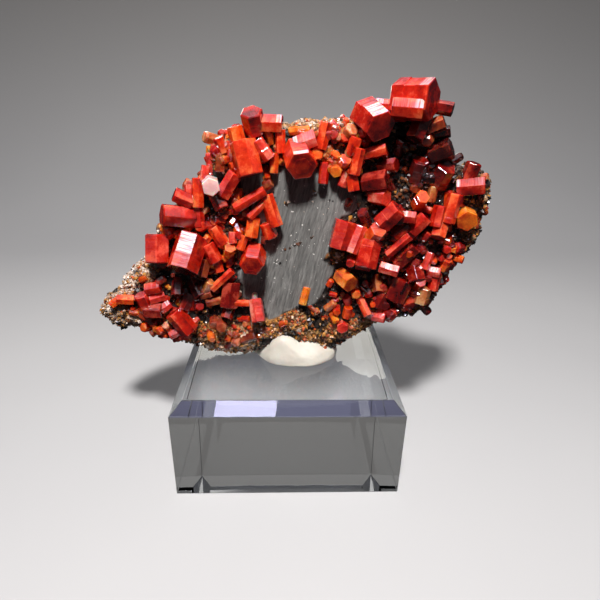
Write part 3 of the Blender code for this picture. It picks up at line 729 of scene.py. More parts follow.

# %% [markdown]
# ## Crystals: places and looks
#
# Each row sets one crystal on the drawing: where its middle is, how far it stands out, its radius and
# length, how its axis leans and tips, and its turn.  The letter at the end names its look, which is
# three colours: deep inside, a painted glow near the edges where light comes through, and a painted
# highlight on the worn rims.  The digit says how strong the painted sheen on its upper faces is,
# from 0 for glassy to 9 for white with fine stripes.
# Strewing the large crystals by chance would be quicker, but what makes a specimen this one and no
# other is where they stand.

# %% Crystal table
# Rows: u, v, out, radius, length, lean, tip and turn in degrees, look and painted sheen.
CRYSTALS = {
    "crown": [
        (24.6, 59.4, 2.0, 4.35, 7.9, 88, 24, 20, "R8"),
        (23.4, 57.7, 5.2, 2.3, 6.2, 93, 2, 0, "B8"),
        (16.6, 55.7, 2.0, 3.7, 7.1, 128, 50, 0, "R9"),
        (18.5, 58.4, 0.4, 1.3, 3.2, 92, 0, 0, "S8"),
        (30.4, 58.0, 1.4, 1.5, 4.1, 98, 8, 20, "D0"),
        (26.2, 54.3, 2.2, 2.25, 5.3, 198, 24, 20, "D0"),
        (29.2, 54.6, 1.0, 1.75, 4.3, 66, 6, 14, "N1"),
        (31.0, 53.4, 0.0, 1.3, 3.2, 78, 0, 20, "K0"),
        (31.2, 49.6, 0.4, 2.4, 4.7, 66, 10, 20, "K0"),
    ],
    "pit": [
        (20.5, 46.6, 0.6, 1.65, 4.1, 80, 30, 10, "D5"),
        (18.3, 43.4, 1.2, 2.5, 5.5, 78, 22, 6, "D1"),
        (19.2, 40.2, 1.4, 1.95, 4.1, 96, 34, 6, "S6"),
        (17.0, 49.2, 2.0, 1.4, 6.0, 74, 8, 8, "B5"),
        (22.6, 50.6, -1.0, 1.65, 3.8, 20, 30, 10, "K0"),
    ],
    "column": [
        (14.0, 47.4, 3.0, 1.4, 5.5, 10, 2, 12, "B6"),
        (13.2, 43.6, 2.2, 1.5, 4.7, 166, 6, 14, "B2"),
        (11.6, 43.9, 1.4, 1.2, 3.4, 20, 6, 14, "S4"),
        (11.1, 47.1, 1.6, 1.4, 3.4, 30, 52, 20, "O3"),
        (13.0, 50.5, 1.8, 1.55, 3.9, 18, 8, 20, "B2"),
        (11.8, 52.9, 0.8, 1.6, 3.6, 40, 46, 10, "T6"),
        (6.8, 52.4, 1.0, 1.5, 5.3, 12, 0, 12, "B2"),
        (7.2, 45.0, 1.2, 1.15, 4.5, 4, -4, 0, "R8"),
    ],
    "brow": [
        (1.9, 48.0, 2.4, 3.45, 6.6, 160, 58, 0, "B9"),
        (3.2, 51.2, 1.0, 2.15, 4.7, 70, 6, 0, "S9"),
        (2.6, 53.2, -0.4, 1.2, 3.0, 84, 6, 12, "A2"),
        (-1.9, 51.2, 1.0, 1.1, 4.7, 0, 0, 10, "B6"),
        (-3.8, 54.5, 0.8, 2.05, 4.7, 91, 8, 0, "B8"),
        (-7.3, 54.9, 0.8, 2.4, 4.9, -12, 34, 8, "R2"),
        (-10.6, 51.8, 1.0, 1.75, 4.5, -14, 4, 10, "O2"),
        (-8.9, 47.8, 2.8, 3.0, 7.1, -12, -6, 18, "B3"),
        (-5.4, 49.6, 2.4, 1.5, 4.5, -34, 4, 6, "S5"),
        (-3.2, 46.9, 1.4, 1.05, 4.1, 4, 0, 14, "O2"),
    ],
    "shoulder": [
        (-16.5, 42.2, 3.0, 2.05, 5.6, 176, 82, 30, "W9"),
        (-12.7, 42.4, 2.0, 1.95, 5.8, 34, 12, 8, "R6"),
        (-14.9, 39.2, 1.6, 1.85, 4.3, 160, 10, 12, "D1"),
        (-19.3, 40.6, 0.8, 1.45, 6.2, 4, 0, 10, "B2"),
        (-17.6, 44.6, 0.6, 1.0, 3.4, 10, 0, 10, "S5"),
        (-14.4, 46.8, 0.6, 1.1, 3.6, 4, 0, 10, "N2"),
        (-13.9, 50.3, 0.2, 1.2, 3.2, -20, 10, 10, "B2"),
        (-21.0, 40.9, 0.2, 1.1, 2.8, 0, 0, 0, "S8"),
        (-22.4, 39.5, 1.2, 1.8, 4.3, -64, 6, 4, "R6"),
    ],
    "bars": [
        (-8.4, 39.3, 2.4, 1.3, 7.7, 60, 6, 10, "B2"),
        (-6.9, 37.1, 1.8, 1.0, 4.9, 46, 4, 6, "B5"),
        (-3.9, 36.9, 1.6, 1.7, 7.1, -18, 2, 16, "B3"),
        (-4.4, 32.6, 1.6, 1.65, 3.6, -20, 12, 10, "B3"),
        (-8.0, 33.3, 1.2, 1.65, 4.5, 10, 4, 16, "O1"),
    ],
    "flank": [
        (-23.9, 35.6, 1.6, 2.7, 7.0, -82, 14, 4, "R8"),
        (-19.4, 35.6, 1.0, 1.4, 4.9, 0, 0, 12, "R2"),
        (-29.1, 28.3, 1.8, 3.0, 6.4, 6, 2, 16, "R5"),
        (-22.5, 27.2, 3.4, 3.7, 8.3, 22, -14, 0, "R9"),
        (-19.2, 23.8, 1.8, 1.6, 4.1, 18, 4, 14, "N2"),
        (-25.4, 19.2, 0.4, 1.5, 4.1, 188, 14, 14, "D3"),
        (-21.0, 18.9, 0.0, 1.75, 4.5, 160, 14, 14, "D0"),
    ],
    "cluster": [
        (-15.4, 31.3, 1.2, 1.65, 4.5, -30, 6, 10, "B2"),
        (-17.1, 27.3, 2.0, 1.8, 4.5, -24, 6, 8, "R6"),
        (-13.3, 27.9, 1.6, 1.5, 3.2, 20, 60, 10, "A3"),
        (-16.0, 24.6, 1.4, 1.15, 3.6, -14, 4, 12, "B1"),
        (-10.3, 29.8, 1.2, 1.25, 3.4, 20, 6, 8, "O2"),
        (-8.0, 26.0, 3.0, 3.05, 6.0, 196, 56, 0, "B7"),
        (-15.2, 20.9, 1.6, 1.05, 6.8, 50, 18, 12, "B1"),
        (-18.5, 19.4, 1.2, 1.2, 3.2, 30, 40, 8, "T5"),
        (-18.9, 17.4, 0.8, 1.2, 2.8, 80, 20, 8, "N3"),
        (-13.6, 17.3, 0.2, 2.4, 6.0, 10, 10, 14, "D0"),
        (-12.3, 30.9, 1.6, 1.0, 2.6, 2, 0, 0, "S7"),
        (-18.3, 30.3, 1.0, 1.1, 2.8, 40, 20, 0, "O2"),
        (-23.4, 15.6, 0.0, 1.6, 4.2, 30, 10, 12, "D0"),
    ],
    "foot": [
        (-7.4, 13.2, 1.8, 1.85, 5.5, 172, 6, 16, "S5"),
        (-10.9, 15.1, 1.2, 0.95, 3.4, 92, 4, 18, "B3"),
        (-14.0, 13.2, 0.4, 1.5, 4.1, 200, 10, 12, "D2"),
        (-17.4, 15.5, 0.8, 1.05, 3.6, 80, 4, 10, "N1"),
    ],
    "tip": [
        (-30.9, 18.9, 0.8, 1.65, 3.6, 84, 20, 4, "B6"),
        (-37.7, 15.9, 0.6, 1.4, 3.9, 100, 4, 10, "O1"),
        (-39.9, 15.4, 0.2, 1.1, 3.0, 60, 4, 10, "O1"),
        (-33.4, 15.3, 1.2, 1.85, 4.5, -20, 30, 8, "R5"),
        (-31.4, 13.2, 1.4, 2.15, 4.5, 100, 20, 14, "D1"),
        (-30.3, 16.4, 0.8, 1.3, 3.6, 80, 4, 8, "S4"),
        (-28.7, 14.1, 1.2, 1.3, 3.0, 60, 8, 4, "S8"),
        (-25.2, 10.2, 1.8, 2.5, 6.4, -35, 12, 6, "R8"),
        (-27.0, 7.2, 1.4, 1.25, 3.0, 70, 8, 6, "R6"),
        (-24.7, 6.4, 1.2, 1.1, 2.8, 100, 20, 10, "S4"),
    ],
    "middle": [
        (11.7, 31.8, 1.8, 2.7, 6.4, 12, 6, 18, "R5"),
        (14.8, 30.7, 2.8, 1.5, 6.4, 18, -2, 6, "S8"),
        (18.7, 31.8, 2.4, 2.15, 4.7, 36, 46, 4, "O6"),
        (17.7, 27.3, 3.0, 2.8, 6.4, 8, -4, 18, "R0"),
        (16.9, 24.5, 3.4, 1.15, 3.4, 98, 0, 0, "R9"),
        (13.9, 25.8, 2.4, 1.1, 3.2, 180, 62, 30, "S7"),
        (22.9, 23.8, 2.2, 1.6, 4.5, 102, 4, 0, "S8"),
        (24.4, 29.4, 2.0, 1.15, 6.6, 44, 2, 10, "R2"),
        (12.9, 21.2, 1.4, 2.3, 4.7, 128, 40, 6, "A3"),
    ],
    "right": [
        (21.8, 36.1, 2.2, 2.6, 5.5, 42, 14, 8, "R4"),
        (25.9, 35.9, 2.4, 1.6, 3.6, 92, 4, 0, "R8"),
        (28.4, 34.4, 1.2, 1.95, 4.7, 40, 10, 14, "R1"),
        (28.1, 39.4, 1.2, 1.75, 4.1, 30, 56, 10, "O0"),
        (30.5, 41.0, 0.2, 1.2, 3.4, 6, 10, 10, "T3"),
        (32.5, 36.1, 2.0, 1.65, 4.7, 5, 0, 4, "R4"),
        (35.2, 37.9, 1.6, 1.8, 6.4, 9, 2, 14, "B2"),
        (33.2, 33.0, 2.2, 1.85, 3.6, 8, -20, 32, "B1"),
        (38.6, 35.8, 0.8, 2.5, 4.3, 150, 66, 10, "A1"),
        (38.7, 42.6, 1.0, 2.15, 5.8, 80, 4, 0, "R9"),
        (38.1, 45.6, -0.8, 1.75, 4.1, 14, 10, 14, "D0"),
        (26.9, 45.8, 0.4, 1.85, 5.1, 12, 34, 10, "D0"),
        (32.0, 44.8, 0.2, 2.5, 4.9, 24, 30, 12, "D0"),
    ],
    "heel": [
        (36.4, 28.8, 0.0, 1.0, 2.8, 100, 20, 10, "O1"),
        (38.3, 26.4, -0.2, 1.0, 2.6, 100, 10, 10, "O1"),
        (35.7, 24.9, 0.2, 1.3, 3.0, 20, 30, 10, "O3"),
        (31.5, 25.8, 1.0, 1.05, 4.1, 12, 2, 10, "S4"),
        (33.2, 23.2, 0.8, 1.4, 3.2, 94, 4, 0, "S8"),
        (33.7, 20.8, 0.6, 1.4, 4.5, 5, 4, 10, "R1"),
        (30.2, 20.0, 1.4, 1.4, 3.4, 30, 60, 10, "B6"),
        (31.3, 17.4, 1.0, 1.95, 4.1, 10, 20, 10, "T4"),
        (21.5, 11.6, 0.6, 1.4, 3.2, 96, 10, 6, "S3"),
        (24.2, 12.9, 0.2, 1.3, 3.2, 80, 10, 10, "R2"),
        (17.6, 14.7, 1.0, 1.2, 5.5, 150, 6, 8, "B3"),
        (25.4, 18.8, 0.0, 2.8, 5.6, 20, 10, 14, "D0"),
        (28.8, 23.4, 0.0, 2.25, 5.3, 160, 12, 14, "D0"),
        (25.8, 27.8, -0.4, 2.6, 5.8, 40, 10, 14, "D0"),
        (20.3, 20.2, 0.0, 1.5, 4.0, 168, 10, 10, "N0"),
        (21.4, 16.4, 0.2, 1.7, 4.2, 24, 12, 12, "D0"),
        (28.8, 15.4, -0.2, 1.8, 4.4, 62, 14, 10, "D0"),
        (24.6, 33.2, 0.2, 1.8, 4.2, 50, 10, 10, "D0"),
    ],
    "back": [
        (22.4, 51.0, -12.6, 2.3, 4.8, 34, -30, 10, "R2"),
        (27.4, 46.6, -12.8, 1.6, 4.0, 80, -14, 10, "R1"),
        (10.4, 48.6, -13.0, 1.7, 4.2, 70, -12, 16, "R3"),
        (-8.6, 46.8, -12.8, 2.0, 4.6, -40, -26, 10, "R2"),
        (-13.4, 43.6, -12.4, 1.4, 3.8, 12, -16, 10, "R1"),
        (34.4, 37.6, -12.2, 1.8, 4.2, 100, -24, 10, "R2"),
        (-21.6, 30.0, -12.8, 1.9, 4.6, -70, -20, 10, "R1"),
    ],
    "scatter": [
        (3.7, 17.0, 0.6, 1.05, 4.3, 14, 4, 10, "A1"),
        (13.9, 12.8, 0.8, 1.15, 3.0, 10, 30, 10, "O1"),
        (13.0, 9.2, 1.0, 1.6, 3.2, 180, 70, 20, "S8"),
    ],
}

# %% Looks
# Colour deep inside, painted glow near the edges, and painted highlight on the worn rims.
LOOKS = {
    # K: near black, painted shade for crystals deep in the shadowed hollows.
    "K": ((0.008, 0.0005, 0.0005), (0.040, 0.002, 0.0015), (0.12, 0.015, 0.010)),
    # D: dark red, darkened further as painted shade for crystals that lie in shadow.
    "D": ((0.035, 0.001, 0.0015), (0.21, 0.005, 0.003), (0.50, 0.06, 0.03)),
    "R": ((0.13, 0.0015, 0.0025), (0.52, 0.013, 0.004), (0.84, 0.11, 0.05)),
    "B": ((0.26, 0.002, 0.002), (0.68, 0.032, 0.005), (0.92, 0.17, 0.05)),
    "O": ((0.40, 0.008, 0.002), (0.82, 0.095, 0.007), (0.96, 0.30, 0.07)),
    "A": ((0.40, 0.035, 0.003), (0.80, 0.200, 0.012), (0.96, 0.46, 0.11)),
    "S": ((0.32, 0.005, 0.006), (0.70, 0.050, 0.030), (0.92, 0.28, 0.20)),
    "T": ((0.24, 0.03, 0.010), (0.56, 0.16, 0.045), (0.80, 0.40, 0.20)),
    "N": ((0.08, 0.006, 0.003), (0.30, 0.045, 0.012), (0.50, 0.16, 0.06)),
    # W: pale pink to white all over, a painted glint on crystals whose faces flash in the lamp.
    "W": ((0.85, 0.48, 0.46), (0.96, 0.74, 0.74), (1.00, 0.88, 0.88)),
}
print("crystals:", sum(len(rows) for rows in CRYSTALS.values()), "in", len(LOOKS), "looks")

# %% [markdown]
# ## One crystal
#
# A vanadinite crystal is a six-sided prism with flat ends.  Its long faces are striped by tiny steps
# that run round it, its ends carry raised plates, and its edges are worn to hair-thin facets.  A
# six-sided cylinder with a bevel would look machined.  Here the mesh is built from rings of points,
# and six side distances give each ring's corners, so a small change of one distance from ring to
# ring tilts one side by a degree or two, as the real steps do.

# %% One crystal: where it goes
# Before its turn, a crystal's front side faces forward and up.
FACING = Vector((0.0, -0.74, 0.67))


def crystal_placing(row):
    """Return a crystal's placing matrix, radius and length."""
    u, v, out, radius, length, lean, tip, turn = row[:8]
    face_point = on_drawing(u, v, FACE_Y)
    sight = (face_point - STATION).normalized()
    across = sight.cross(Vector((0.0, 0.0, 1.0))).normalized()
    up = across.cross(sight)
    lean, tip, turn = radians(lean), radians(tip), radians(turn)
    middle = face_point - sight * out * MM
    true_size = (middle - STATION).length / (face_point - STATION).length * MM
    axis = (across * sin(lean) + up * cos(lean)) * cos(tip) - sight * sin(tip)
    front = (FACING - axis * FACING.dot(axis)).normalized()
    placing = Matrix((front.cross(axis), front, axis)).transposed().to_4x4()
    placing = Matrix.Translation(middle) @ placing @ Matrix.Rotation(-turn, 4, "Z")
    return placing, radius * true_size, length * true_size


first_sizes = crystal_placing(CRYSTALS["crown"][0])[1:]
print("first crystal, radius and length in mm:", [round(size / MM, 2) for size in first_sizes])

# %% One crystal: its hexagon
WORN_EDGE = 0.05 * MM
SIDE_COLUMNS = (0.0, 0.03, 0.12, 0.5, 0.88, 0.97, 1.0)
# Painted glow near each side's edges, where light comes through, by column.
EDGE_GLOW = (0.9, 0.35, 0.10, 0.0, 0.10, 0.35, 0.9)
COLUMNS = len(SIDE_COLUMNS)
RING_POINTS = 6 * COLUMNS
SIDE_TURNS = np.radians(60 * np.arange(6) + 30)
SIDE_COS, SIDE_SIN = 0.5, sqrt(3) / 2


def hexagon(distances, worn):
    """Return a ring of points, seven to a side, of a hexagon with the given side distances."""
    points = []
    for side, turn in enumerate(SIDE_TURNS):
        before, here, after = distances[side - 1], distances[side], distances[(side + 1) % 6]
        start = -(before - here * SIDE_COS) / SIDE_SIN + worn
        end = (after - here * SIDE_COS) / SIDE_SIN - worn
        for column in SIDE_COLUMNS:
            along = start + (end - start) * column
            points.append((here * cos(turn) - along * sin(turn), here * sin(turn) + along * cos(turn)))
    return points


print("points in a ring:", len(hexagon(np.ones(6), 0.0)))

# %% [markdown]
# ## Ends and terraces
#
# The flat end of a crystal often carries a thin raised or sunken plate, and the last growth leaves
# ledges that run right round its sides.  Both could be cut with booleans, which are slow and leave
# poor faces.  Here they are only rings with other distances.

# %% One crystal: its ends and terraces
# A plate is raised or sunken by a share of the radius, and half of the ends have none.
PLATE_HEIGHTS, PLATE_KINDS = (0.01, 0.03), (-1.0, 0.0, 0.0, 1.0)
# Only crystals of some size have terraces; each steps some of the sides in by a share of the radius.
LEDGE, TERRACED_ABOVE = 0.03 * MM, 1.2 * MM
TERRACE_STEPS, SIDES_STEPPED = (0.015, 0.06), 0.6


def end_rings(sides, half, width, worn, sign, rng):
    """List an end's rings from its middle outwards: side distances, height, painted glow, and the end's sign.
    """
    plate = sides.mean() * rng.uniform(*PLATE_HEIGHTS) * rng.choice(PLATE_KINDS)
    inner, outer = rng.uniform(0.45, 0.62), rng.uniform(0.70, 0.82)
    lift = half - max(plate, 0.0)
    levels = [(sides * 0.02, lift + plate, 0.0), (sides * inner, lift + plate, 0.0),
              (sides * (inner + 0.04), lift, 0.05), (sides * outer, lift, 0.12),
              (sides - width - worn * 1.5, lift, 0.50), (sides - width, lift - worn * 0.6, 0.9)]
    return [(distances, sign * height, glow, sign) for distances, height, glow in levels]


def growth_terraces(radius, half, rng):
    """List ledges that run round a crystal: where, towards which end, and how much each side steps in."""
    terraces = []
    for _ in range(rng.integers(0, 3) if radius > TERRACED_ABOVE else 0):
        cut = radius * rng.uniform(*TERRACE_STEPS, 6) * (rng.random(6) < SIDES_STEPPED)
        terraces.append((half * rng.uniform(-0.65, 0.65), rng.choice((-1.0, 1.0)), cut))
    return terraces


# %% One crystal: its rings
# Side distances and chamfers as shares of the radius, the stripes' spacing, and their usual step.
FLATS, CHAMFERS = (0.91, 1.0), (0.02, 0.12)
STRIPES_TO_A_LENGTH, STRIPE_LIMITS, STRIPE_STEP = 14, (0.22 * MM, 0.55 * MM), 0.012 * MM


def crystal_rings(radius, length, rng):
    """Return the side distances, the worn edge, and the rings from foot to tip.

    A ring is its side distances, its height, its painted glow, and the end's sign, or 0 along the sides.
    """
    worn = min(WORN_EDGE, radius * 0.04)
    flats = radius * cos(radians(30)) * rng.uniform(*FLATS, 6)
    half = length / 2
    chamfer = radius * rng.uniform(*CHAMFERS, 2)
    terraces = growth_terraces(radius, half, rng)

    def sides_at(height):
        """Return the six side distances at a height, less the terraces passed."""
        return flats - sum((cut for start, way, cut in terraces if (height - start) * way > 0), np.zeros(6))

    stripe = float(np.clip(length / STRIPES_TO_A_LENGTH, *STRIPE_LIMITS))
    low, high = -half + chamfer[0] + 3 * worn, half - chamfer[1] - 3 * worn
    heights = [low, high] + [start + side * LEDGE / 2 for start, _, _ in terraces for side in (-1, 1)]
    heights += list(np.arange(low + stripe, high - stripe, stripe) + rng.uniform(-0.3, 0.3) * stripe)
    rings = end_rings(sides_at(-half), half, chamfer[0], worn, -1, rng)
    rings.append((sides_at(-half) - worn * 0.5, -half + chamfer[0] * 0.8 + worn, 0.8, 0))
    for height in sorted(heights):
        near_end = min(height + half, half - height) / half
        micro = rng.normal(-STRIPE_STEP, STRIPE_STEP * (0.4 + radius / (3 * MM)), 6)
        rings.append((sides_at(height) + micro, height, 0.3 - 0.3 * min(1.0, near_end * 2.2), 0))
    rings.append((sides_at(half) - worn * 0.5, half - chamfer[1] * 0.8 - worn, 0.8, 0))
    rings += list(reversed(end_rings(sides_at(half), half, chamfer[1], worn, 1, rng)))
    return flats, worn, rings


# %% [markdown]
# ## Painted light and sheen on the faces
#
# No two faces of a real crystal look alike: one lets the lamp deep inside, the next reflects it, and
# those that look up flash pale in bands.  This could be left to the lamps alone, but an opaque finish
# would then look like plastic.  So each face gets a painted lightness, which is painted light and
# shade by where the face looks plus a share drawn by chance, a slant of it, and bands of painted
# sheen on the faces that look up, which stand in for the lamp's reflection.

# %% One crystal: its faces' painted light and painted sheen
# Faces that look up, forward and a little to the left, roughly towards the key lamp, get the most painted
# light and the most painted sheen.
UP_FRONT = np.array((-0.22, -0.62, 0.75))
MEAN_LIGHT, LIGHT_BY_FACING, LIGHT_BY_CHANCE = 0.20, 0.38, 0.22
SLANT = 0.40
SHEEN_FROM, SHEEN_FULL = 0.74, 0.93
SHEEN_BANDS = (0.45, 0.70, 1.0)
END_BAND = len(SHEEN_BANDS)
TOP_FACE, FOOT_FACE = 6, 7


def face_looks(turning, sheen_strength, rng):
    """Return the faces' painted lightness, slants and painted sheen, and the bands' ends and sheen."""
    normals = np.stack([np.cos(SIDE_TURNS), np.sin(SIDE_TURNS), np.zeros(6)], axis=1)
    normals = np.concatenate([normals, [(0, 0, 1), (0, 0, -1)]]) @ turning.T
    facing = normals @ UP_FRONT
    painted_lightness = MEAN_LIGHT + LIGHT_BY_FACING * facing + rng.uniform(-LIGHT_BY_CHANCE, LIGHT_BY_CHANCE, 8)
    slants = rng.uniform(-SLANT, SLANT, (8, 2))
    face_sheen = sheen_strength * eased(facing, SHEEN_FROM, SHEEN_FULL)
    band_ends = np.sort(rng.uniform(-0.8, 0.8, 2))
    band_sheen = np.append(rng.permutation(SHEEN_BANDS), 1.0)
    return painted_lightness, slants, face_sheen, band_ends, band_sheen


# %% One crystal: all of it
PATTERN_STEP = 3  # millimetres from one crystal's part of the pattern to the next one's


def ring_faces(ring_count, ring_points):
    """List the faces between rings that follow each other, and the two that close the ends."""
    faces = []
    for start in range(0, (ring_count - 1) * ring_points, ring_points):
        for number in range(ring_points):
            after = (number + 1) % ring_points
            faces.append((start + number, start + after,
                          start + ring_points + after, start + ring_points + number))
    faces.append(tuple(range(ring_points - 1, -1, -1)))
    faces.append(tuple((ring_count - 1) * ring_points + number for number in range(ring_points)))
    return faces


def build_crystal(row, seed):
    """Return a crystal's points, faces, stripe places with painted light shares, painted sheen, and look."""
    rng = np.random.default_rng(seed)
    placing, radius, length = crystal_placing(row)
    turning, middle = np.array(placing)[:3, :3], np.array(placing)[:3, 3]
    half = length / 2
    letter, digit = row[8]
    flats, worn, rings = crystal_rings(radius, length, rng)
    painted_lightness, slants, face_sheen, band_ends, band_sheen = face_looks(turning, int(digit) / 9, rng)
    pattern_start = seed * PATTERN_STEP * MM
    points, shares, painted_sheen, around = [], [], [], []
    for distances, height, shine, sign in rings:
        for number, (x, y) in enumerate(hexagon(np.minimum(distances, flats), worn)):
            points.append((x, y, height))
            if sign:
                face, along, across = (TOP_FACE if sign > 0 else FOOT_FACE), x / radius, y / radius
                around.append((x + pattern_start, y))
            else:
                face, along, across = number // COLUMNS, height / half, 2 * SIDE_COLUMNS[number % COLUMNS] - 1
                shine = max(shine, EDGE_GLOW[number % COLUMNS])
                around.append((height + pattern_start, number / RING_POINTS * 6 * radius))
            # Painted light share: the face's painted lightness and slant, and painted glow near the edges.
            shares.append(painted_lightness[face] + slants[face, 0] * along + slants[face, 1] * across + shine * 0.5)
            band = END_BAND if sign else int(np.searchsorted(band_ends, height / half))
            # Painted sheen on faces that look up, in bands.
            painted_sheen.append(face_sheen[face] * band_sheen[band])
    stripes = np.column_stack([np.array(around), np.array(shares)])
    return (np.array(points) @ turning.T + middle, ring_faces(len(rings), RING_POINTS), stripes,
            np.array(painted_sheen), letter)


# %% [markdown]
# ## Joining crystals
#
# Crystals that share a solid, and later the hundreds of small ones, become one mesh.  Each crystal
# could have a material of its own, but that would be a hundred materials that differ in three
# colours.  Instead the colours are stored on the mesh's points, and one material reads them.


# %% Joining crystals
def crystals_mesh(name, built):
    """Join built crystals into one mesh with their colours, stripe places, painted light shares and painted
    sheen.
    """
    points, stripes, painted_sheen = (np.concatenate([item[part] for item in built]) for part in (0, 2, 3))
    counts = [len(item[0]) for item in built]
    faces, start = [], 0
    for item, count in zip(built, counts):
        faces += [tuple(index + start for index in face) for face in item[1]]
        start += count
    mesh = bpy.data.meshes.new(name)
    mesh.from_pydata(points.tolist(), [], faces)
    for number, part in enumerate(("deep_colour", "lit_glow_colour", "rim_highlight_colour")):
        colours = np.concatenate([np.tile((*LOOKS[item[4]][number], 1.0), (count, 1))
                                  for item, count in zip(built, counts)])
        layer = mesh.attributes.new(part, "FLOAT_COLOR", "POINT")
        layer.data.foreach_set("color", colours.astype(np.float32).ravel())
    layer = mesh.attributes.new("stripe", "FLOAT_VECTOR", "POINT")
    layer.data.foreach_set("vector", stripes.astype(np.float32).ravel())
    mesh.attributes.new("painted_sheen", "FLOAT", "POINT").data.foreach_set("value", painted_sheen.astype(np.float32))
    return mesh


# %% [markdown]
# ## Crystal finish
#
# Vanadinite bends light almost as strongly as diamond, so its flat faces flash white or pink under a
# lamp while the body glows red.  A transparent finish would show every face of the rock behind it
# and turn grey in so dark a setting.  So the finish mixes each crystal's deep colour with a painted
# glow by a number stored on the mesh, which is painted light and shade by where each face looks and
# painted glow near its edges.  It breaks that up with cloudy inclusions, paints a paler highlight on
# the worn rims and a pink to white painted sheen in bands on the upper faces, lets a little light
# scatter inside, and stripes the long faces with a bump.

# %% Crystal finish
VANADINITE_IOR = 2.2
# Painted sheen colours: pink where faint, white where strong.
SHEEN_PINK, SHEEN_WHITE = (0.56, 0.17, 0.20), (0.95, 0.78, 0.84)
crystal_finish, tree, shader = new_material("vanadinite")
place = add_node(tree, "TexCoord").outputs["Object"]
stripe = add_node(tree, "Attribute", attribute_name="stripe").outputs["Vector"]
# The stripe's third number is the painted light share of each point.
share = add_node(tree, "SeparateXYZ", {0: stripe}).outputs["Z"]
# Deep colour, painted glow colour (edge) and painted highlight colour for the worn rims.
deep, edge, rim_highlight = (add_node(tree, "Attribute", attribute_name=name).outputs["Color"]
                   for name in ("deep_colour", "lit_glow_colour", "rim_highlight_colour"))


def added(tree, *values):
    """Return the socket of the sum of numbers."""
    total = values[0]
    for value in values[1:]:
        total = add_node(tree, "Math", {0: total, 1: value}, operation="ADD").outputs[0]
    return total


cloud = spots(tree, place, 430.0, 4.0, 0.6)
veins = spots(tree, place, 1900.0, 3.0, 0.6)
painted_light_and_mottle = added(tree, share, ramp(tree, cloud, 0.34, 0.66, -0.48, 0.48),
                ramp(tree, veins, 0.3, 0.7, -0.14, 0.14))
# Painted light: deep colour where the share is low, painted glow where it is high.
colour = mix_colours(tree, ramp(tree, painted_light_and_mottle, 0.05, 0.85), deep, edge)
# Painted highlight on the worn rims and the brightest spots.
colour = mix_colours(tree, ramp(tree, painted_light_and_mottle, 0.95, 1.55), colour, rim_highlight)
stretched = add_node(tree, "Mapping", {"Vector": stripe, "Scale": (1.0, 0.10, 0.0)}).outputs["Vector"]
lines = spots(tree, stretched, 3400.0, 3.0, 0.7)
# Painted sheen: upper faces turn pink to white in broken bands, standing in for the lamp's reflection.
painted_sheen = stored(tree, "painted_sheen")
broken_lines = ramp(tree, lines, 0.38, 0.60, 0.15, 1.0)
banded_sheen = add_node(tree, "Math", {0: painted_sheen, 1: broken_lines}, operation="MULTIPLY")
whiter = mix_colours(tree, ramp(tree, painted_sheen, 0.66, 0.95), SHEEN_PINK, SHEEN_WHITE)
colour = mix_colours(tree, banded_sheen.outputs[0], colour, whiter)
tree.links.new(colour, shader.inputs["Base Color"])
dusty = spots(tree, place, 2600.0, 3.0)
blur = added(tree, ramp(tree, lines, 0.4, 0.7, 0.0, 0.08), ramp(tree, dusty, 0.35, 0.7, 0.05, 0.15),
             ramp(tree, painted_sheen, 0.0, 1.0, 0.0, 0.05))
tree.links.new(blur, shader.inputs["Roughness"])
bump = add_node(tree, "Bump", {"Height": lines, "Strength": 0.5, "Distance": 0.00003})
tree.links.new(bump.outputs["Normal"], shader.inputs["Normal"])
fill(shader, IOR=VANADINITE_IOR, Subsurface_Weight=0.7, Subsurface_Radius=(1.0, 0.12, 0.03),
     Subsurface_Scale=0.0018)
print("finish:", crystal_finish.name, "with", len(tree.nodes), "nodes")

# %% [markdown]
# ## Crystals by solid
#
# Where crystals have grown into each other they share one solid.  Which solid a crystal belongs to
# could be written by hand in its row.  Here each crystal is handed to the solid that holds most of
# the points spread through it, so that the two can't disagree.

# %% Crystals by solid
crystal_nodes = [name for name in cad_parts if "crystal" in name]
depsgraph = bpy.context.evaluated_depsgraph_get()
surfaces = {name: BVHTree.FromObject(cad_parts[name], depsgraph) for name in crystal_nodes}
# A ray in any direction will do; after each hit it starts again a hair's breadth past the surface.
RAY, PAST_SURFACE = Vector((0.36, 0.48, 0.80)), 0.002
# The points tested in a crystal: heights as shares of its length, reaches as shares of its radius.
TEST_HEIGHTS, TEST_REACHES = (-0.4, -0.2, 0.0, 0.2, 0.4), (0.2, 0.75)
LOOSE_BELOW = 12


def holds(surface, spot):
    """Return whether a point is inside a closed surface: a ray from it leaves an odd number of times."""
    crossings = 0
    hit = surface.ray_cast(spot, RAY)[0]
    while hit is not None:
        crossings += 1
        hit = surface.ray_cast(hit + RAY * PAST_SURFACE * MM, RAY)[0]
    return crossings % 2 == 1


def holding_solid(row):
    """Return the solid that holds most of the points spread through a crystal."""
    placing, radius, length = crystal_placing(row)
    tested = [placing @ Vector((reach * radius * cos(turn), reach * radius * sin(turn), length * step))
              for step in TEST_HEIGHTS for turn in SIDE_TURNS for reach in TEST_REACHES]
    held = {name: sum(holds(surface, spot) for spot in tested) for name, surface in surfaces.items()}
    best = max(held, key=held.get)
    if held[best] < LOOSE_BELOW:
        print("loosely held:", row, best, held[best])
    return best


by_solid = {name: [] for name in crystal_nodes}
all_rows = [row for rows in CRYSTALS.values() for row in rows]
for seed, row in enumerate(all_rows, start=1):
    by_solid[holding_solid(row)].append(build_crystal(row, seed))
for name, built in by_solid.items():
    if built:
        add_piece(f"{name}_detail", crystals_mesh(name, built), (crystal_finish,), (name,))
print("solids with no crystal of their own:", [name for name, built in by_solid.items() if not built])

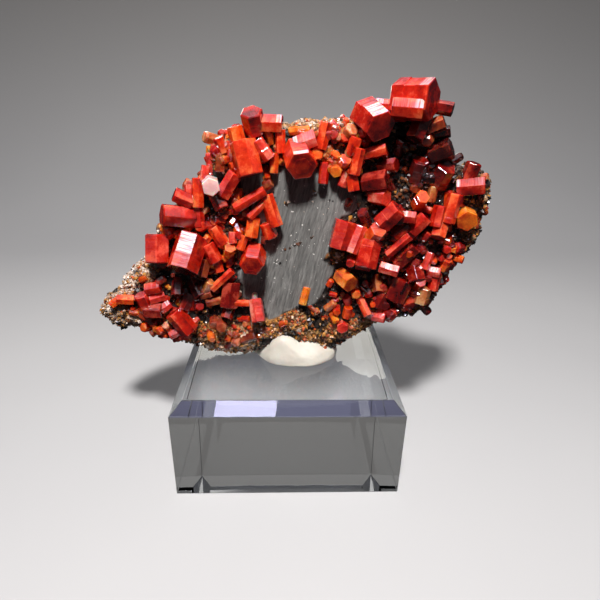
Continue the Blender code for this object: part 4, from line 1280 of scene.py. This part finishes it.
# %% [markdown]
# ## Small crystals
#
# Between the big crystals the rock is overgrown with small ones.  The ones that show are set one by
# one on the drawing; the rest are strewn by chance, with looks that follow the places they grow in.
# The large crystals' builder would do for them too, but its stripes can't be seen at this size.  A
# small crystal needs only four rings of twelve points, so hundreds of them join into one piece.

# %% The rock as a surface to plant on
rock_surface = BVHTree.FromObject(slab, bpy.context.evaluated_depsgraph_get())
rock_points = vertex_array(slab_mesh)
rock_normals = vertex_array(slab_mesh, "normal")
rock_u, rock_v = drawn_place(rock_points)


def rock_at(u, v):
    """Return the rock's point and normal on the sight line through (u, v), or the nearest to it."""
    aim = Vector((u * MM, FACE_Y, BLOCK_HEIGHT + v * MM))
    spot, normal, _, _ = rock_surface.ray_cast(STATION, (aim - STATION).normalized())
    if spot is None:
        print("beside the rock:", u, v)
        spot, normal, _, _ = rock_surface.find_nearest(aim)
    return spot, normal


# %% One small crystal
# Painted sheen on the faces that look up, by look.
SMALL_SHEEN, OTHER_SHEEN = {"W": 1.0, "S": 0.9, "T": 0.5, "R": 0.3}, 0.15
# Rings from foot to tip: share of the radius, height as a share of the length, and painted glow.
SMALL_RINGS = ((0.86, -0.5, 0.2), (1.0, -0.42, 0.1), (1.0, 0.38, 0.35), (0.80, 0.5, 0.9))
SMALL_RING_POINTS = 12
CORNER_TURNS = [pi / 3 * corner for corner in range(6)]
CORNER_WEAR = 0.10


def small_crystal(middle, axis, radius, length, look, rng):
    """Return a short worn prism in the form that crystals_mesh takes."""
    turning = np.array(axis.to_track_quat("Z", "Y").to_matrix())
    spin = rng.uniform(0.0, pi / 3)
    flats = rng.uniform(0.88, 1.0, 6)
    points, glow = [], []
    for share, height, shine in SMALL_RINGS:
        for corner_turn, flat in zip(CORNER_TURNS, flats):
            for side in (-CORNER_WEAR, CORNER_WEAR):
                turn = spin + corner_turn + side
                reach = radius * share * flat
                points.append((reach * cos(turn), reach * sin(turn), height * length))
                glow.append(shine)
    points = np.array(points)
    # Painted light share: painted glow towards the tip, a random lightness and a random slant.
    share = np.array(glow) * 0.6 + rng.uniform(-0.15, 0.55) + rng.uniform(-0.25, 0.25) * points[:, 0] / radius
    stripes = np.stack([points[:, 2] + rng.uniform(0.0, 1.0), np.arange(len(points)) / len(points) * radius,
                        share], axis=1)
    spread = points @ turning.T
    upward_share = eased(spread @ UP_FRONT / np.linalg.norm(spread, axis=1), 0.3, 0.9)
    painted_sheen = upward_share * SMALL_SHEEN.get(look, OTHER_SHEEN) * rng.random()
    return spread + np.array(middle), ring_faces(len(SMALL_RINGS), SMALL_RING_POINTS), stripes, painted_sheen, look


# %% Small crystals set one by one
# Rows: u, v, radius, length, lean from upright, look.
# The W rows are painted glints.
HAND_SET = [
    (-4.7, 45.0, 0.7, 3.0, 170, "O"), (-4.5, 42.6, 1.1, 2.0, 60, "T"), (-12.0, 48.6, 1.0, 2.4, 20, "S"),
    (-16.5, 46.8, 0.7, 4.0, -5, "S"), (14.6, 52.0, 0.8, 3.8, 140, "S"), (9.0, 47.2, 0.9, 2.0, 30, "T"),
    (9.6, 44.8, 0.5, 1.0, 70, "A"), (-12.0, 38.6, 1.1, 2.6, 30, "T"), (-13.3, 36.6, 0.9, 3.8, 65, "O"),
    (-14.0, 36.9, 0.8, 2.4, 20, "N"), (-5.3, 30.6, 1.0, 1.8, 10, "N"), (-13.3, 24.8, 0.7, 1.8, 40, "O"),
    (19.7, 29.7, 0.7, 1.4, 90, "W"), (30.5, 31.8, 1.1, 2.4, 30, "R"), (41.0, 44.6, 0.9, 2.0, 70, "T"),
    (9.5, 20.3, 0.8, 1.8, 30, "O"), (5.6, 13.8, 0.6, 3.4, 130, "T"), (6.4, 13.0, 0.9, 1.8, 60, "A"),
    (10.8, 15.9, 0.8, 1.4, 110, "S"), (10.8, 11.5, 1.0, 2.8, 150, "A"), (10.4, 17.4, 0.7, 1.8, 100, "O"),
    (-1.3, 9.8, 0.9, 1.7, 70, "A"), (-26.7, 5.0, 0.8, 2.0, 80, "O"), (-29.5, 7.1, 0.9, 1.9, 20, "O"),
    (-31.8, 7.5, 1.0, 2.2, 60, "N"), (-22.7, 8.5, 0.8, 1.8, 150, "S"), (-7.9, 16.2, 0.8, 3.0, 5, "W"),
    (-10.6, 11.1, 0.8, 3.0, 95, "O"), (5.5, 52.5, 0.9, 2.0, 60, "T"), (0.8, 53.3, 0.9, 2.0, 80, "A"),
    (2.4, 52.8, 0.8, 1.8, 100, "O"), (-27.3, 32.9, 0.7, 1.4, 30, "A"), (-28.0, 34.5, 0.7, 1.5, 80, "T"),
    (19.5, 12.3, 0.9, 1.8, 40, "S"), (-4.8, 44.2, 0.6, 1.6, 40, "T"), (-14.6, 51.4, 1.1, 2.6, 30, "T"),
    (-11.0, 53.2, 0.9, 2.0, 10, "O"), (12.6, 38.9, 0.8, 1.8, 30, "N"), (-11.6, 44.6, 0.7, 1.6, 50, "O"),
    (8.9, 53.4, 1.0, 2.2, 20, "T"), (5.0, 46.9, 0.8, 1.8, 90, "T"), (-34.6, 16.4, 0.8, 2.0, 50, "O"),
    (-36.0, 12.6, 0.8, 2.2, 105, "A"), (-33.0, 21.0, 0.8, 1.8, 70, "A"), (-29.0, 20.8, 0.9, 2.2, 60, "R"),
]
rng = np.random.default_rng(41)
hand_set = []
for u, v, radius, length, lean, look in HAND_SET:
    spot, normal = rock_at(u, v)
    sight = (spot - STATION).normalized()
    across = sight.cross(Vector((0.0, 0.0, 1.0))).normalized()
    tip = rng.uniform(0.1, 0.7)
    axis = across * sin(radians(lean)) + across.cross(sight) * cos(radians(lean)) - sight * tip
    middle = spot - sight * radius * 0.7 * MM
    hand_set.append(small_crystal(middle, axis.normalized(), radius * MM, length * MM, look, rng))
hand_set_mesh = crystals_mesh("small_crystals", hand_set)
add_piece("small_crystals", hand_set_mesh, (crystal_finish,))

# %% Small crystals strewn over the rock
# Regions of the drawing: u, v, radius across, radius up, chance, looks.
GROWTH = [
    (-16.0, 30.0, 14.0, 18.0, 1.0, "OOBTSRNO"), (-9.0, 49.0, 10.0, 5.0, 1.0, "OOBTSA"),
    (10.5, 49.5, 6.0, 6.5, 1.1, "OOTSAB"), (26.0, 29.0, 14.0, 11.0, 0.9, "DRBONDR"),
    (24.0, 17.0, 11.0, 6.0, 1.2, "DRRONB"), (36.5, 24.0, 4.0, 6.0, 1.0, "OOTRN"),
    (-28.0, 13.0, 9.0, 6.5, 1.2, "OORTNA"), (-12.0, 7.5, 11.0, 4.0, 0.6, "AOTN"),
    (11.5, 13.0, 4.5, 5.0, 0.5, "AOTS"), (28.0, 47.0, 9.0, 8.0, 0.8, "KKDKN"),
    (-22.0, 19.0, 6.0, 5.0, 0.5, "DDKN"), (38.0, 38.0, 5.0, 8.0, 0.6, "NDTOK"),
]
STREWN = 800
LEAN_SPREAD = 0.75
# Radii in millimetres follow a bell curve of their logarithm, within limits.
RADIUS_LOG, RADIUS_LOG_SPREAD, RADIUS_LIMITS = -0.40, 0.42, (0.3, 1.4)
SLENDERNESS = (1.7, 3.4)


def growth_chances():
    """Return, for each region, the chance of a crystal on each point of the rock."""
    slate_here, _, _ = zones(rock_points, rock_normals[:, 1])
    ready = (rock_normals[:, 1] < 0.35) & (rock_points[:, 1] < 1.5 * MM) & (slate_here < 0.02)
    ready &= inside(SLATE_EDGE, rock_u, rock_v) < -0.6
    chances = []
    for u, v, across, up, chance, _ in GROWTH:
        away = np.hypot((rock_u - u) / across, (rock_v - v) / up)
        chances.append(chance * (1.0 - eased(away, 0.6, 1.0)) * ready)
    return np.array(chances)


chances = growth_chances()
total = chances.sum(axis=0)
strewn = []
for spot in rng.choice(len(rock_points), STREWN, replace=False, p=total / total.sum()):
    region = rng.choice(len(GROWTH), p=chances[:, spot] / total[spot])
    look = GROWTH[region][5][rng.integers(len(GROWTH[region][5]))]
    outward = Vector(rock_normals[spot]) * 0.9 + Vector(rng.normal(0.0, LEAN_SPREAD, 3))
    radius = float(np.clip(rng.lognormal(RADIUS_LOG, RADIUS_LOG_SPREAD), *RADIUS_LIMITS)) * MM
    length = radius * rng.uniform(*SLENDERNESS)
    middle = Vector(rock_points[spot]) + outward.normalized() * length * 0.22
    strewn.append(small_crystal(middle, outward.normalized(), radius, length, look, rng))
strewn_mesh = crystals_mesh("strewn_crystals", strewn)
add_piece("strewn_crystals", strewn_mesh, (crystal_finish,))

# %% [markdown]
# ## Grains
#
# The rest of the rock glitters with grains: black and brown druse in the hollows and on the right
# rim, golden ones in the crust along the foot, and bone-coloured ones on the weathered edges.
# Instances on points would do it, but instances aren't kept in the finished model.  A grain here is
# a small eight-faced stone, squashed and turned by chance, and numpy makes thousands of them at once.

# %% Grains: shape
LARGE_ARE_RARE = 2.2
GRAIN_CORNERS = np.array([(1, 0, 0), (-1, 0, 0), (0, 1, 0), (0, -1, 0), (0, 0, 1), (0, 0, -1)], float)
GRAIN_FACES = np.array([(0, 2, 4), (2, 1, 4), (1, 3, 4), (3, 0, 4),
                        (2, 0, 5), (1, 2, 5), (3, 1, 5), (0, 3, 5)])


def random_turns(count, rng):
    """Return an array of rotation matrices in random directions."""
    spins = rng.normal(0.0, 1.0, (count, 4))
    w, x, y, z = (spins / np.linalg.norm(spins, axis=1)[:, None]).T
    return np.stack([1 - 2 * (y * y + z * z), 2 * (x * y - z * w), 2 * (x * z + y * w),
                     2 * (x * y + z * w), 1 - 2 * (x * x + z * z), 2 * (y * z - x * w),
                     2 * (x * z - y * w), 2 * (y * z + x * w), 1 - 2 * (x * x + y * y)], 1).reshape(-1, 3, 3)


def grains_mesh(name, weights, count, sizes, colours, rng):
    """Strew stones over the rock by weight; sizes are low and high, colours are (colour, chance)."""
    spots = rng.choice(len(rock_points), count, replace=False, p=weights / weights.sum())
    size = sizes[0] + (sizes[1] - sizes[0]) * rng.random(count) ** LARGE_ARE_RARE
    shapes = size[:, None] * rng.uniform(0.6, 1.1, (count, 3))
    corners = GRAIN_CORNERS[None] * shapes[:, None, :] * rng.uniform(0.8, 1.2, (count, 6, 1))
    points = np.einsum("nij,nkj->nki", random_turns(count, rng), corners)
    points += (rock_points[spots] + rock_normals[spots] * size[:, None] * 0.25)[:, None, :]
    faces = (GRAIN_FACES[None] + 6 * np.arange(count)[:, None, None]).reshape(-1, 3)
    mesh = bpy.data.meshes.new(name)
    mesh.from_pydata(points.reshape(-1, 3).tolist(), [], faces.tolist())
    chance = np.array([share for _, share in colours])
    picked = rng.choice(len(colours), count, p=chance / chance.sum())
    tints = np.array([colour for colour, _ in colours])[picked] * rng.uniform(0.7, 1.25, (count, 1))
    tints = np.clip(np.column_stack([tints, np.ones(count)]), 0.0, 1.0).repeat(6, axis=0)
    layer = mesh.attributes.new("tint", "FLOAT_COLOR", "POINT")
    layer.data.foreach_set("color", tints.astype(np.float32).ravel())
    return mesh


# %% Grains: finish
GRAIN_IOR = 1.9


def grain_finish(name, blur_low, blur_high):
    """Glossy little stones with a stored colour."""
    material, tree, shader = new_material(name)
    place = add_node(tree, "TexCoord").outputs["Object"]
    tint = add_node(tree, "Attribute", attribute_name="tint").outputs["Color"]
    patchy = ramp(tree, spots(tree, place, 2400.0), 0.35, 0.65)
    shade = mix_colours(tree, patchy, (0.55, 0.50, 0.48), (1, 1, 1))
    tree.links.new(mix_colours(tree, 1.0, tint, shade, "MULTIPLY"), shader.inputs["Base Color"])
    tree.links.new(ramp(tree, spots(tree, place, 1800.0), 0.35, 0.65, blur_low, blur_high),
                   shader.inputs["Roughness"])
    fill(shader, IOR=GRAIN_IOR)
    return material


sparkling, waxy = grain_finish("druse", 0.08, 0.40), grain_finish("crust", 0.25, 0.60)
print("grain finishes:", sparkling.name, waxy.name)

# %% Grains: where they lie
BLACK, UMBER, RUST = (0.010, 0.008, 0.008), (0.050, 0.026, 0.014), (0.16, 0.050, 0.016)
GOLD, ORANGE = (0.58, 0.25, 0.040), (0.62, 0.10, 0.012)
TAN, BONE = (0.48, 0.28, 0.13), (0.72, 0.59, 0.50)
slate_here, crust_here, pale_here = zones(rock_points, rock_normals[:, 1])
off_slate = (1.0 - slate_here) * (inside(SLATE_EDGE, rock_u, rock_v) < -0.3)
facing_front = eased(-rock_normals[:, 1], -0.5, 0.2) * (rock_points[:, 1] < 3.5 * MM)
rough_ground = off_slate * facing_front
right_rim = patches([(38.5, 30.5, 4.5, 7.0, 1.0), (41.0, 41.5, 4.0, 6.5, 1.0), (26.0, 44.0, 8.0, 7.0, 0.4),
                     (-27.5, 33.0, 3.0, 3.5, 0.7), (-13.5, 34.0, 4.0, 4.0, 0.5)], rock_u, rock_v)
# Rows: name, weight on each point of the rock, count, sizes in millimetres, colours with chances, finish.
GRAIN_KINDS = [
    ("druse_grains", rough_ground * (0.25 + right_rim) * (1.0 - crust_here) * (1.0 - pale_here), 5200,
     (0.16, 0.85), [(BLACK, 6), (UMBER, 4), (RUST, 2.4), (TAN, 0.3), (GOLD, 0.5)], sparkling),
    ("crust_grains", rough_ground * (crust_here ** 2 + 0.01) * (1.0 - 0.85 * pale_here), 4200,
     (0.15, 0.75), [(GOLD, 7), (RUST, 2), (ORANGE, 3), (TAN, 2.5), (UMBER, 1.0), (BONE, 0.5)], waxy),
    ("pale_grains", rough_ground * (pale_here ** 2 + 0.002), 1500,
     (0.13, 0.6), [(BONE, 7), (TAN, 3), (GOLD, 2), (ORANGE, 0.8), (UMBER, 0.4)], waxy),
]
for name, weights, count, sizes, colours, finish in GRAIN_KINDS:
    stones = grains_mesh(name, weights, count, [size * MM for size in sizes], colours, rng)
    add_piece(name, stones, (finish,))

# %% Grains on the slate
# Rows: u, v, size, colour.  Brown pits lie in a rising row, and tiny white grains above them.
SLATE_GRAINS = [
    (-1.5, 28.1, 0.30, UMBER), (-0.9, 28.3, 0.45, RUST), (0.2, 28.6, 0.40, UMBER), (1.3, 29.4, 0.55, UMBER),
    (2.0, 29.6, 0.70, RUST), (2.5, 29.9, 0.50, UMBER), (4.9, 31.0, 0.50, UMBER), (5.3, 31.4, 0.25, RUST),
    (-0.6, 38.5, 0.75, UMBER), (-0.2, 38.9, 0.55, BONE), (-0.9, 38.8, 0.45, TAN), (-2.0, 25.1, 0.40, BLACK),
    (5.5, 40.8, 0.80, UMBER), (5.2, 41.2, 0.50, TAN), (8.6, 39.4, 0.35, BLACK), (9.3, 39.2, 0.30, BLACK),
    (5.0, 39.0, 0.28, BONE), (7.4, 36.3, 0.25, BONE), (14.3, 35.7, 0.25, BONE), (3.2, 36.8, 0.15, BONE),
    (-3.2, 39.9, 0.45, UMBER), (8.4, 37.6, 0.16, BONE), (6.4, 33.2, 0.14, BONE), (1.2, 24.2, 0.16, BONE),
]
SPECK_FLATNESS, SPECK_DEPTH = 0.6, 0.1
specks = []
for u, v, size, colour in SLATE_GRAINS:
    spot, normal = rock_at(u, v)
    corners = GRAIN_CORNERS * rng.uniform(0.7, 1.15, (6, 3)) * size * MM
    turned_corners = corners @ random_turns(1, rng)[0].T
    turned_corners[:, 1] *= SPECK_FLATNESS
    specks.append((turned_corners + np.array(spot - normal * size * SPECK_DEPTH * MM), colour))
speck_mesh = bpy.data.meshes.new("slate_grains")
speck_faces = (GRAIN_FACES[None] + 6 * np.arange(len(specks))[:, None, None]).reshape(-1, 3)
speck_mesh.from_pydata(np.concatenate([points for points, _ in specks]).tolist(), [], speck_faces.tolist())
speck_tints = np.array([(*colour, 1.0) for _, colour in specks]).repeat(6, axis=0).astype(np.float32)
speck_mesh.attributes.new("tint", "FLOAT_COLOR", "POINT").data.foreach_set("color", speck_tints.ravel())
add_piece("slate_grains", speck_mesh, (waxy,))
